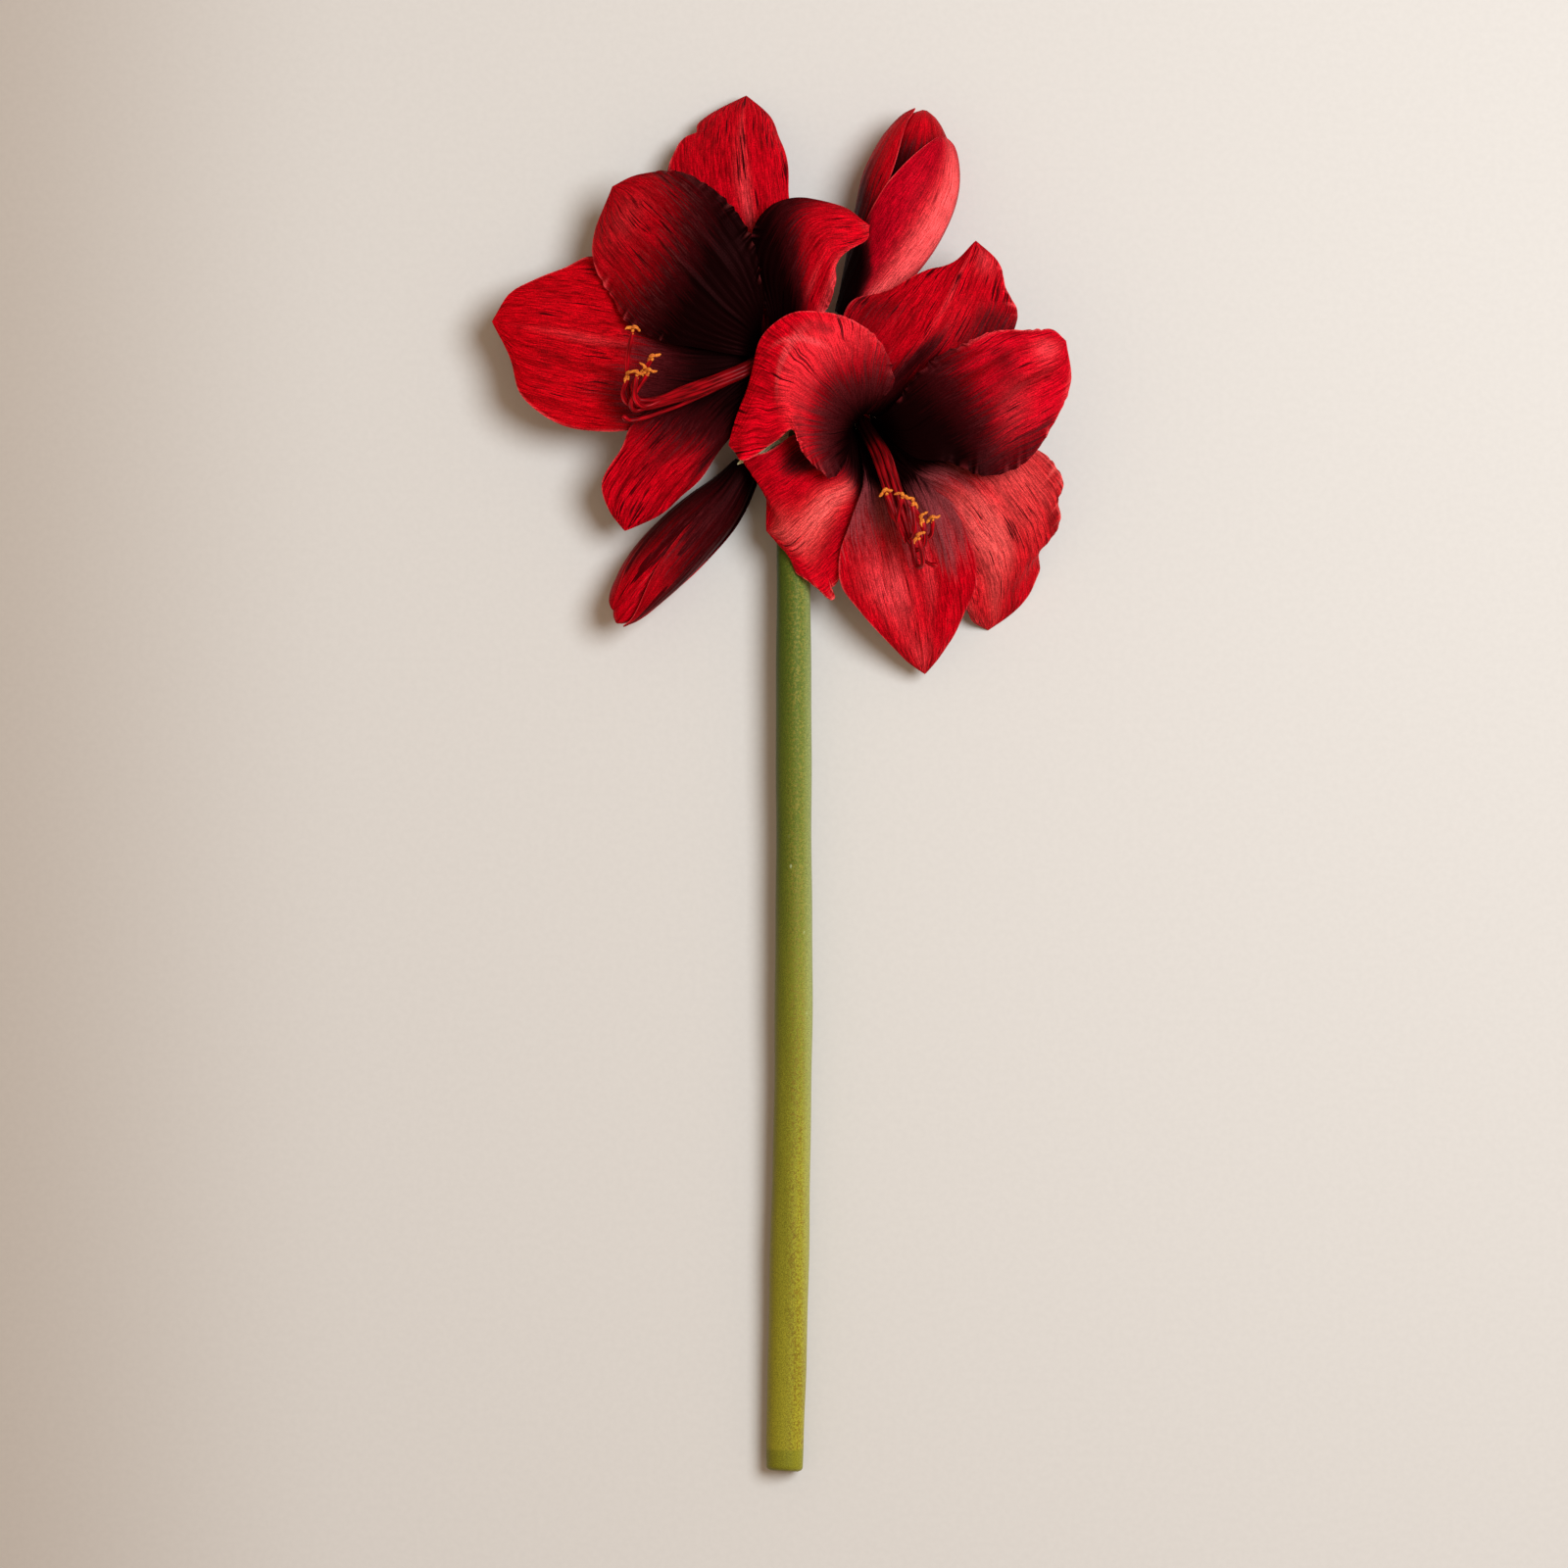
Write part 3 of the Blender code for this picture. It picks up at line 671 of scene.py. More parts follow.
@dataclass(frozen=True)
class GrainPattern:
    """The fine velvety grain of living tissue, by the size of its cells in millimetres."""

    detail: float = 1.0
    roughness: float = 0.6

    def group(self) -> bpy.types.NodeTree:
        """The grain as a shader group.

        Returns:
            The group.
        """
        sockets = {"Place": (VECTOR, None), "Size": (FLOAT, 0.5)}
        graph, given, out = new_group("velvet grain", sockets, ("Grain",))
        scale = graph.arithmetic("DIVIDE", 1 / MM, given.outputs["Size"])
        graph.feed(out, {"Grain": graph.noise(given.outputs["Place"], self.detail, self.roughness, scale)})
        return graph.tree


class Groups:
    """The shader groups, each made once."""

    def __init__(self) -> None:
        """Makes the groups."""
        self.veins = VeinPattern().group()
        self.grain = GrainPattern().group()


@dataclass(frozen=True)
class Gloss:
    """How strongly a finish mirrors light, and in what tint."""

    strength: float = 0.5
    tint: Colour = (1.0, 1.0, 1.0)


@dataclass(frozen=True)
class Relief:
    """The fine relief of a finish: its strength, and its depth in millimetres."""

    strength: float
    depth: float


@dataclass(frozen=True)
class Streaking:
    """How a finish is streaked: its streaks across and along the piece, its seed and how many are dark."""

    across: float
    along: float
    seed: float
    amount: float


class Surface(Graph):
    """A new material, with its Principled BSDF and the shader groups."""

    def __init__(self, name: str, groups: Groups) -> None:
        """Starts the material.

        Args:
            name: its name.
            groups: the shader groups.
        """
        self.made = bpy.data.materials.new(name)
        self.made.use_nodes = True
        super().__init__(self.made.node_tree)
        self.shader = self.tree.nodes["Principled BSDF"]
        self.groups = groups

    def veins(self, streaking: Streaking) -> tuple[Socket, ...]:
        """The streaks, ridges, fibres and patches of the veins, laid out on the piece's own map."""
        inputs = {"Map": self.blade()} | {name.capitalize(): value for name, value in vars(streaking).items()}
        return tuple(self.add("ShaderNodeGroup", inputs, node_tree=self.groups.veins).outputs)

    def grain(self, size: float) -> Socket:
        """The grain, by the size of its cells in millimetres."""
        inputs = {"Place": self.place(), "Size": size}
        return self.add("ShaderNodeGroup", inputs, node_tree=self.groups.grain).outputs["Grain"]

    def coat(self, colour: Socket, roughness: object, gloss: Gloss = Gloss()) -> None:
        """Sets the colour, the roughness and the gloss."""
        self.feed(self.shader, {"Base Color": colour, "Roughness": roughness})
        self.feed(self.shader, {"Specular IOR Level": gloss.strength, "Specular Tint": gloss.tint})

    def emboss(self, height: Socket, relief: Relief) -> None:
        """Gives the surface its fine relief."""
        inputs = {"Strength": relief.strength, "Distance": relief.depth * MM, "Height": height}
        self.feed(self.shader, {"Normal": self.add("ShaderNodeBump", inputs).outputs[0]})


class Finish:
    """What every finish does: it lays itself on a new surface.

    In a finish, a ramp is where a change starts and where it is full, and what it gives at each, 0 and 1 if
    left out.
    """

    def lay(self, surface: Surface) -> None:
        """Lays the finish on a surface."""
        raise NotImplementedError

    def material(self, name: str, groups: Groups) -> Material:
        """The finish as a material.

        Args:
            name: the name of the material.
            groups: the shader groups.

        Returns:
            The material.
        """
        surface = Surface(name, groups)
        self.lay(surface)
        return surface.made


@dataclass(frozen=True)
class PetalFinish(Finish):
    """The red velvet of a tepal or bud: streaked along it, coral where it blushes and where sheen highlights
    are painted, maroon in its throat and near black deep in it, partly as painted shade.

    Its width and length are in millimetres and scale the veins. A blade's finish is given the blade's own.
    """

    bright: Colour = (0.50, 0.0006, 0.0065)
    deep: Colour = (0.22, 0.0002, 0.0025)
    # coral is also the colour of painted sheen highlights; rose is painted sheen where the fibres catch the
    # light in the dark
    coral: Colour = (0.78, 0.056, 0.064)
    streak: Colour = (0.020, 0.0003, 0.001)
    dusk: Colour = (0.022, 0.0006, 0.0012)
    rose: Colour = (0.105, 0.0085, 0.0105)
    # night, the near black deep in the throat, is partly its own colour and partly painted shade
    night: Colour = (0.0022, 0.0001, 0.0002)
    width: float = 60.0
    length: float = 100.0
    streaks: float = 0.55
    streak_width: float = 1.0
    streak_length: float = 22.0
    streak_strength: float = 0.92
    seed: float = 0.0
    rosy: float = 0.58
    rosy_edge: float = 0.1
    grain_size: float = 0.55
    patchiness: float = 0.55
    loose_ridges: float = 2.6
    loose_fibres: float = 1.6
    into_bright: Ramp = (0.36, 0.58)
    flushed: Ramp = (0.32, 0.56, 0.45, 1.0)
    fibre_light: Ramp = (0.38, 0.62, 0.60, 1.28)
    grain_light: Ramp = (0.28, 0.72, 0.64, 1.34)
    into_dusk: Ramp = (-0.7, 0.7)
    into_night: Ramp = (0.6, 1.9)
    into_rose: Ramp = (-0.5, 0.9)
    # The crest highlight and hollow shade ramps paint light on the crests of gathered edges and shade in
    # their hollows; the rim ramps paint a highlight along the blade's edge.
    raised: Ramp = (0.1, 0.9, 0.0, 0.7)
    sunken: Ramp = (-0.2, -0.9, 0.0, 0.6)
    rim: Ramp = (0.964, 0.994)
    rim_breaks: Ramp = (0.4, 0.6, 0.1, 0.6)
    rim_reach: Ramp = (0.5, -0.5)
    roughness: Ramp = (0.2, 0.8, 0.58, 0.44)
    gloss: Gloss = Gloss(0.06, (1.0, 0.2, 0.2))
    relief: Relief = Relief(0.5, 0.4)
    ridge_height: float = 0.8
    grain_height: float = 0.25

    def reds(self, surface: Surface, veins: tuple[Socket, ...]) -> Socket:
        """The lit red, with its coral, partly its own and partly painted sheen highlights, its fibres and its
        dark streaks.

        Args:
            surface: the new material.
            veins: the streaks, ridges, fibres and patches on it.

        Returns:
            The colour.
        """
        streaks, ridges, fibres, patches = veins
        clear = surface.weighed(patches, self.patchiness, ridges, 1 - self.patchiness)
        red = surface.mix(surface.spread(clear, *self.into_bright), self.deep, self.bright)
        coral_share = surface.times(surface.mark("blush_and_highlight"), surface.spread(ridges, *self.flushed))
        red = surface.scaled(surface.mix(coral_share, red, self.coral), surface.spread(fibres, *self.fibre_light))
        return surface.mix(surface.times(streaks, self.streak_strength), red, self.streak)

    def darks(self, surface: Surface, veins: tuple[Socket, ...], red: Socket) -> Socket:
        """The red carried into the dark of the throat, with painted sheen where the fibres catch the light,
        painted highlights on the crests of gathered edges, painted shade in their hollows and a painted
        highlight along the rim.

        Args:
            surface: the new material.
            veins: the streaks, ridges, fibres and patches on it.
            red: the lit red.

        Returns:
            The colour.
        """
        _, ridges, fibres, _ = veins
        crest = surface.mark("crest")
        loose = surface.swing(ridges, self.loose_ridges)
        loose = surface.plus(loose, surface.swing(fibres, self.loose_fibres))
        reach = surface.plus(surface.mark("shade"), loose)
        # Painted sheen: where the fibres catch the light, the dark turns rose.
        lit = surface.weighed(fibres, 0.5, ridges, 0.5)
        rosy = surface.spread(lit, self.rosy - self.rosy_edge, self.rosy + self.rosy_edge)
        dark = surface.mix(rosy, self.dusk, self.rose)
        red = surface.mix(surface.spread(reach, *self.into_dusk), red, dark)
        # Painted shade deepens the throat's own dark towards black.
        red = surface.mix(surface.spread(reach, *self.into_night), red, self.night)
        # Painted highlight on the crests and the rim, and painted shade in the hollows.
        proud = surface.mix(surface.spread(reach, *self.into_rose), self.coral, self.rose)
        red = surface.mix(surface.spread(crest, *self.raised), red, proud)
        red = surface.mix(surface.spread(crest, *self.sunken), red, self.dusk)
        broken = surface.spread(ridges, *self.rim_breaks)
        rim = surface.times(surface.spread(surface.mark("rim"), *self.rim), broken)
        return surface.mix(surface.times(rim, surface.spread(reach, *self.rim_reach)), red, proud)

    def lay(self, surface: Surface) -> None:
        """Lays the finish on a blade, by its map and its marks.

        Args:
            surface: the new material.
        """
        across, along = self.width / self.streak_width, self.length / self.streak_length
        veins = surface.veins(Streaking(across, along, self.seed, self.streaks))
        grain = surface.grain(self.grain_size)
        colour = self.darks(surface, veins, self.reds(surface, veins))
        colour = surface.scaled(colour, surface.spread(grain, *self.grain_light))
        surface.coat(colour, surface.spread(grain, *self.roughness), self.gloss)
        surface.emboss(surface.weighed(veins[1], self.ridge_height, grain, self.grain_height), self.relief)


@dataclass(frozen=True)
class StreakedFinish(Finish):
    """A matt finish of two colours, streaked along its length."""

    hollow: Colour
    ridge: Colour
    streak: Colour
    streaking: Streaking
    into_ridge: Ramp
    roughness: Ramp
    relief: Relief
    streak_strength: float = 0.6

    def lay(self, surface: Surface) -> None:
        """Lays the finish on a stalk or a bract.

        Args:
            surface: the new material.
        """
        streaks, ridges, _, _ = surface.veins(self.streaking)
        colour = surface.mix(surface.spread(ridges, *self.into_ridge), self.hollow, self.ridge)
        colour = surface.mix(surface.times(streaks, self.streak_strength), colour, self.streak)
        surface.coat(colour, self.matt(surface, ridges))
        surface.emboss(ridges, self.relief)

    def matt(self, surface: Surface, ridges: Socket) -> Socket:
        """How matt it is, by its ridges."""
        return surface.spread(ridges, *self.roughness)


@dataclass(frozen=True)
class StalkFinish(StreakedFinish):
    """The matt maroon of a flower's own stalk."""

    hollow: Colour = (0.045, 0.014, 0.012)
    ridge: Colour = (0.13, 0.05, 0.03)
    streak: Colour = (0.045, 0.014, 0.012)
    streaking: Streaking = Streaking(24.0, 5.0, 3.0, 0.6)
    into_ridge: Ramp = (0.3, 0.7)
    roughness: Ramp = (0.2, 0.8, 0.65, 0.45)
    relief: Relief = Relief(0.3, 0.3)
    grain_size: float = 0.6

    def matt(self, surface: Surface, ridges: Socket) -> Socket:
        """How matt it is, by its grain."""
        return surface.spread(surface.grain(self.grain_size), *self.roughness)


@dataclass(frozen=True)
class BractFinish(StreakedFinish):
    """The dry straw of the spathe, cream with olive streaks."""

    hollow: Colour = (0.86, 0.76, 0.48)
    ridge: Colour = (0.34, 0.31, 0.11)
    streak: Colour = (0.34, 0.31, 0.11)
    streaking: Streaking = Streaking(16.0, 3.0, 5.0, 0.9)
    into_ridge: Ramp = (0.35, 0.65)
    roughness: Ramp = (0.2, 0.8, 0.6, 0.8)
    relief: Relief = Relief(0.6, 0.3)


@dataclass(frozen=True)
class FilamentFinish(Finish):
    """The waxy red of filaments and styles, near black in the throat with painted shade and brighter towards
    their ends with painted light.
    """

    red: Colour = (0.29, 0.0007, 0.004)
    dark: Colour = (0.06, 0.0003, 0.001)
    night: Colour = (0.004, 0.0001, 0.0002)
    streaking: Streaking = Streaking(6.0, 12.0, 8.0, 0.7)
    into_dark: Ramp = (0.36, 0.62)
    out_of_night: Ramp = (0.16, 0.44)
    end_light: Ramp = (0.6, 0.85, 1.0, 1.7)
    roughness: Ramp = (0.3, 0.7, 0.28, 0.38)
    gloss: Gloss = Gloss(0.25, (1.0, 0.25, 0.25))
    relief: Relief = Relief(0.2, 0.2)

    def lay(self, surface: Surface) -> None:
        """Lays the finish on the filaments, a little uneven along each.

        Args:
            surface: the new material.
        """
        _, ridges, _, _ = surface.veins(self.streaking)
        _, along, _ = surface.parts(surface.blade())
        colour = surface.mix(surface.spread(ridges, *self.into_dark), self.red, self.dark)
        # Painted shade near black deep in the throat, and painted light towards the ends.
        colour = surface.mix(surface.spread(along, *self.out_of_night), self.night, colour)
        colour = surface.scaled(colour, surface.spread(along, *self.end_light))
        surface.coat(colour, surface.spread(ridges, *self.roughness), self.gloss)
        surface.emboss(ridges, self.relief)


@dataclass(frozen=True)
class AntherFinish(Finish):
    """The powdery orange yellow of ripe anthers."""

    yellow: Colour = (0.74, 0.215, 0.003)
    orange: Colour = (0.44, 0.062, 0.002)
    grain_size: float = 0.7
    into_yellow: Ramp = (0.35, 0.65)
    roughness: Ramp = (0.2, 0.8, 0.9, 0.7)
    relief: Relief = Relief(0.8, 0.3)

    def lay(self, surface: Surface) -> None:
        """Lays the finish on the anthers, grainy with pollen.

        Args:
            surface: the new material.
        """
        grain = surface.grain(self.grain_size)
        colour = surface.mix(surface.spread(grain, *self.into_yellow), self.orange, self.yellow)
        surface.coat(colour, surface.spread(grain, *self.roughness))
        surface.emboss(grain, self.relief)


@dataclass(frozen=True)
class ScapeFinish(Finish):
    """The waxy green of the scape, yellower towards its cut end, with a mottled streak and pale flecks, and
    painted light and a painted pale highlight on its right side, towards the lamp.

    Its ramps read metres in the frame of the part, across the scape or along it. Cells are per metre.
    """

    upper: Colour = (0.062, 0.086, 0.009)
    lower: Colour = (0.27, 0.225, 0.016)
    gold: Colour = (0.165, 0.13, 0.018)
    brown: Colour = (0.16, 0.09, 0.008)
    cut: Colour = (0.19, 0.17, 0.012)
    fleck: Colour = (0.26, 0.28, 0.12)
    greening: Ramp = (-0.357, 0.085)
    golding: Ramp = (-0.20, -0.02)
    cut_face: Ramp = (-0.3265, -0.3285)
    sway_cells: tuple[float, float] = (90.0, 9.0)
    sway_detail: float = 3.0
    sway_roughness: float = 0.6
    sway: float = 0.16
    streak_middle: float = 0.0085
    streak_sway: float = 0.01
    streak_edge: Ramp = (0.0085, 0.001)
    mottle_size: float = 1.3
    mottle_sway: float = 2.0
    mottled: Ramp = (0.42, 0.66)
    mottle_strength: float = 0.75
    fleck_cells: tuple[float, float, float] = (160.0, 90.0, 160.0)
    fleck_edge: Ramp = (0.13, 0.05)
    rare_cells: tuple[float, float] = (30.0, 14.0)
    rare_seed: float = 5.0
    rare: Ramp = (0.55, 0.68)
    # The painted pale highlight and the painted light on the right side, which faces the lamp.
    side_bloom: Ramp = (0.009, 0.0158, 0.0, 0.45)
    side_light: Ramp = (0.002, 0.0155, 0.84, 1.5)
    fine_size: float = 0.45
    fine_light: Ramp = (0.28, 0.72, 0.66, 1.36)
    roughness: Ramp = (0.2, 0.8, 0.5, 0.4)
    gloss: Gloss = Gloss(0.15, (0.9, 1.0, 0.5))
    relief: Relief = Relief(0.25, 0.4)
    speckle_height: float = 0.3

    def flecks(self, surface: Surface, place: tuple[Socket, ...]) -> Socket:
        """Where the pale flecks are, a few here and there.

        Args:
            surface: the new material.
            place: the place across the scape, along it and above the floor.

        Returns:
            A share from 0 to 1.
        """
        ways = (surface.times(way, count) for way, count in zip(place, self.fleck_cells))
        inputs = {"Vector": surface.vector(*ways), "Scale": 1.0}
        spots = surface.add("ShaderNodeTexVoronoi", inputs, feature="F1")
        flecks = surface.spread(spots.outputs["Distance"], *self.fleck_edge)
        thin = surface.noise(surface.cells(*place[:2], self.rare_seed, *self.rare_cells))
        return surface.times(flecks, surface.spread(thin, *self.rare))

    def mottle(self, surface: Surface, x: Socket, speckle: Socket, sway: Socket) -> Socket:
        """Where the mottled streak is, down the middle of the scape.

        Args:
            surface: the new material.
            x: the place across the scape.
            speckle: the coarse grain.
            sway: the slow swing of the streak.

        Returns:
            A share from 0 to 1.
        """
        middle = surface.plus(self.streak_middle, surface.times(sway, self.streak_sway))
        beside = surface.arithmetic("ABSOLUTE", surface.minus(x, middle))
        spotted = surface.plus(speckle, surface.times(sway, self.mottle_sway))
        streak = surface.spread(beside, *self.streak_edge)
        return surface.times(streak, surface.spread(spotted, *self.mottled))

    def lay(self, surface: Surface) -> None:
        """Lays the finish by the place along the scape.

        Args:
            surface: the new material.
        """
        x, y, z = place = surface.parts(surface.place())
        speckle = surface.grain(self.mottle_size)
        cells = surface.cells(x, y, z, *self.sway_cells)
        uneven = surface.noise(cells, self.sway_detail, self.sway_roughness)
        sway = surface.swing(uneven, self.sway)
        colour = surface.mix(surface.spread(surface.plus(y, sway), *self.greening), self.lower, self.upper)
        gold = surface.mix(surface.spread(y, *self.golding), self.brown, self.gold)
        mottle = surface.times(self.mottle(surface, x, speckle, sway), self.mottle_strength)
        colour = surface.mix(mottle, colour, gold)
        colour = surface.mix(surface.spread(y, *self.cut_face), colour, self.cut)
        colour = surface.mix(self.flecks(surface, place), colour, self.fleck)
        # Painted highlight and painted light on the right side, which faces the lamp.
        colour = surface.mix(surface.spread(x, *self.side_bloom), colour, self.fleck)
        fine = surface.spread(surface.grain(self.fine_size), *self.fine_light)
        colour = surface.scaled(colour, surface.times(fine, surface.spread(x, *self.side_light)))
        surface.coat(colour, surface.spread(speckle, *self.roughness), self.gloss)
        surface.emboss(surface.plus(uneven, surface.times(speckle, self.speckle_height)), self.relief)


@dataclass(frozen=True)
class FloorFinish(Finish):
    """A plain pale paper ground with the faintest tooth, darkened far to the left by painted shade where the
    lamp's light falls off.
    """

    colour: Colour = (0.58, 0.53, 0.48)
    deep: Colour = (0.44, 0.37, 0.31)
    into_colour: Ramp = (-0.44, -0.20)
    grain_size: float = 3.0
    grain_light: Ramp = (0.2, 0.8, 0.985, 1.015)
    roughness: float = 0.9
    gloss: Gloss = Gloss(0.2)

    def lay(self, surface: Surface) -> None:
        """Lays the finish, with its painted shade laid out from left to right.

        Args:
            surface: the new material.
        """
        x, _, _ = surface.parts(surface.place())
        # Painted shade: darker far to the left, where the lamp's light falls off.
        tone = surface.mix(surface.spread(x, *self.into_colour), self.deep, self.colour)
        light = surface.spread(surface.grain(self.grain_size), *self.grain_light)
        surface.coat(surface.scaled(tone, light), self.roughness, self.gloss)


def closing_of(u: Array) -> Array:
    """How open a blade still is at each row's place: 1 along it, and down to 0 at its tip."""
    return np.clip((1 - u) / TIP_CLOSING, 0, 1)


@dataclass(frozen=True)
class Fold:
    """A soft fold along a blade, from one place across it to another, sunk where its height is below 0."""

    start: float
    end: float
    enter: float
    leave: float
    height: float
    width: float = 0.1
    ease: float = 0.12

    def relief(self, u: Array, v: Array) -> Array:
        """Its height at each place.

        Args:
            u: the rows' places.
            v: the columns' places.

        Returns:
            Millimetres, indexed by row and column.
        """
        share = np.clip((u - self.enter) / (self.leave - self.enter), 0, 1)
        middle = self.start + (self.end - self.start) * share
        ends = stretch(u, self.enter, self.leave, self.ease)
        return self.height * ends[:, None] * np.exp(-(((v[None, :] - middle[:, None]) / self.width) ** 2))


@dataclass(frozen=True)
class Crimp:
    """A stretch of an edge gathered into small waves, its height and wave length in millimetres."""

    side: Side
    start: float
    end: float
    height: float = 0.9
    wave: float = 5.0
    depth: float = 9.0
    ease: float = 0.06
    ripple: float = 0.45

    def shift(
        self, sheet: Array, u: Array, v: Array, upward: Array
    ) -> tuple[Array, Array]:
        """How far each point moves where the edge is gathered.

        Args:
            sheet: the surface so far.
            u: the rows' places.
            v: the columns' places.
            upward: the surface's upper normal.

        Returns:
            Millimetres, and the height from -1 to 1, indexed as the surface is.
        """
        edge, inside = (-1, -4) if self.side is Side.FAR else (0, 3)
        turn = 2 * math.pi * run_along(sheet[:, edge]) / self.wave
        turn = turn + 1.1 * np.sin(turn / 2.7 + 1) + 0.6 * np.sin(turn / 1.7)
        swell = 0.65 + 0.35 * np.sin(turn / 3.3 + 2)
        window = stretch(u, self.start, self.end, self.ease)
        weight = np.clip(v * self.side.value, 0, 1) ** self.depth
        outward = unit_rows(sheet[:, edge] - sheet[:, inside])
        size = (self.height * swell * window)[:, None] * weight[None, :]
        rise = size * np.sin(turn)[:, None]
        reach = self.ripple * size * np.cos(turn + 0.7)[:, None]
        proud = (swell * window * np.sin(turn))[:, None] * weight
        return upward * rise[..., None] + outward[:, None, :] * reach[..., None], proud


@dataclass(frozen=True)
class Lobe:
    """A place where an edge stands out, or draws in if its reach is below 0."""

    side: Side
    at: float
    width: float
    reach: float

    def shift(self, edge: Array, rib: Array, u: Array, v: Array) -> Array:
        """How far each point moves, square to the edge.

        Args:
            edge: the edge that it is on, one place for each row.
            rib: the midrib, one place for each row.
            u: the rows' places.
            v: the columns' places.

        Returns:
            Millimetres, indexed as the surface is.
        """
        ahead = unit_rows(np.gradient(edge, axis=0))
        outward = edge - rib
        outward = unit_rows(outward - ahead * (outward * ahead).sum(axis=-1, keepdims=True))
        push = self.reach * np.exp(-(((u - self.at) / self.width) ** 2)) * closing_of(u)
        weight = np.clip(v * self.side.value, 0, 1) ** LOBE_DEPTH
        return push[:, None, None] * weight[None, :, None] * outward


@dataclass(frozen=True)
class Patch:
    """A soft oval patch of colour: its middle across and along the blade, its half sizes and its strength.
    Some of them are painted shadows and painted highlights.
    """

    tone: Tone
    across: float
    along: float
    wide: float
    long: float
    amount: float
    crisp: float = 1.0

    def weight(self, u: Array, v: Array) -> Array:
        """Its strength at each place, which falls away faster at its rim the crisper it is."""
        far = ((v[None, :] - self.across) / self.wide) ** 2 + ((u[:, None] - self.along) / self.long) ** 2
        return self.amount * np.exp(-(far**self.crisp))


def painted(
    reach: tuple[float, float, float], soft: float, patches: tuple[Patch, ...], u: Array, v: Array
) -> dict[str, Array]:
    """The marks of a blade: how far into the dark each place is, and how coral. The dark holds painted shade
    and painted shadow in places, and the coral painted highlights.

    Args:
        reach: how far the dark of the throat reaches up the near edge, the midrib and the far edge.
        soft: over how much of the length it fades.
        patches: the patches to add.
        u: the rows' places.
        v: the columns' places.

    Returns:
        The marks by the names that the finish reads. The dark is above 0 in it and below 0 past it.
    """
    shade = (bowed(*reach, v)[None, :] - u[:, None]) / soft
    marks = {Tone.DARK.value: shade, Tone.CORAL.value: np.zeros_like(shade)}
    for patch in patches:
        marks[patch.tone.value] = marks[patch.tone.value] + patch.weight(u, v)
    return marks


@dataclass(frozen=True)
class Sheet:
    """A blade's form: the sections it passes, its tip, and the relief on it.

    A section is its near edge, its midrib and its far edge. The frill is the height in millimetres, the
    number and the phase in degrees of the slow waves of both edges.
    """

    sections: tuple[Section, ...]
    tip: Place
    frill: tuple[float, float, float] = (0.0, 1.0, 0.0)
    folds: tuple[Fold, ...] = ()
    crimps: tuple[Crimp, ...] = ()
    lobes: tuple[Lobe, ...] = ()
    ribs: int = 13
    rib_height: float = 0.16
    rows: int = 150
    columns: int = 65

    def across(self) -> Array:
        """The place of each column across the blade, from -1 to 1, closer together towards its edges."""
        even = np.linspace(-1.0, 1.0, self.columns)
        return (1 + EDGE_CROWDING) * even - EDGE_CROWDING * even**3

    def along(self) -> Array:
        """The place of each row along the blade, from 0 to 1."""
        return np.linspace(0.0, 1.0, self.rows)

    def rib_relief(self, u: Array, v: Array) -> Array:
        """The low ribs between the main veins.

        Args:
            u: the rows' places.
            v: the columns' places.

        Returns:
            Their height in millimetres, indexed by row and column.
        """
        wander = 0.25 * np.sin(2 * math.pi * (0.8 * u + 0.1))[:, None]
        phase = math.pi * self.ribs * v[None, :] + wander
        shape = np.cos(phase) + 0.45 * np.cos(1.63 * phase + 1.1 + 0.8 * np.sin(5 * u)[:, None])
        return self.rib_height * shape * (1 - v[None, :] ** RIB_DEPTH) * smooth_step(u, 0.1, 0.3)[:, None]

    def frill_lift(self, u: Array, v: Array) -> Array:
        """How far the slow waves of the edges lift each place.

        Args:
            u: the rows' places.
            v: the columns' places.

        Returns:
            Millimetres, indexed by row and column.
        """
        height, waves, phase = self.frill
        turn = 2 * math.pi * waves * u[:, None] + math.radians(phase) + np.sign(v)[None, :] * FRILL_OFFSET
        fade = np.clip((u - FRILL_START) / FRILL_RISE, 0, 1) * np.clip((1 - u) / FRILL_FALL, 0, 1)
        return height * fade[:, None] * np.abs(v)[None, :] ** FRILL_DEPTH * np.sin(turn)

    def places(self) -> tuple[Array, Array]:
        """The blade's middle surface, and where it stands proud in a gathered edge.

        Returns:
            Millimetres, and a height from -1 to 1, indexed by row and column.
        """
        u, v = self.along(), self.across()
        sections, tip = np.asarray(self.sections, float), np.asarray(self.tip, float)
        knots = chord_shares(np.vstack([sections[:, 1], tip]))
        near, rib, far = (
            smooth_curve(np.vstack([sections[:, k], tip]), u, knots)[:, None, :] for k in range(3)
        )
        sheet = bowed(near, rib, far, v[None, :, None])
        for lobe in self.lobes:
            sheet = sheet + lobe.shift(far if lobe.side is Side.FAR else near, rib, u, v)
        normal = unit_rows(np.cross(np.gradient(sheet, axis=0), np.gradient(sheet, axis=1)))
        upward = normal if normal[..., 2].sum() > 0 else -normal
        closing = closing_of(u)
        relief = self.rib_relief(u, v) + sum(fold.relief(u, v) for fold in self.folds)
        relief = relief * closing[:, None]
        sheet = sheet + normal * self.frill_lift(u, v)[..., None] + upward * relief[..., None]
        crest = np.zeros(sheet.shape[:2])
        for crimp in self.crimps:
            shift, proud = crimp.shift(sheet, u, v, upward)
            sheet = sheet + shift * closing[:, None, None]
            crest = crest + proud
        return sheet, crest

    def build(self, name: str, wall: float, marks: dict[str, Array]) -> tuple[Piece, float, float]:
        """The blade as a piece.

        Args:
            name: its name.
            wall: its thickness, in millimetres.
            marks: what its finish reads, each indexed by row and column.

        Returns:
            The piece, and its greatest width and its length in millimetres.
        """
        sheet, crest = self.places()
        # The crest mark paints highlights on the crests of gathered edges and shade in their hollows.
        marks = marks | {"crest": crest}
        return blade_piece(name, sheet, self.across(), self.along(), wall, marks, PARALLEL_VEINS)


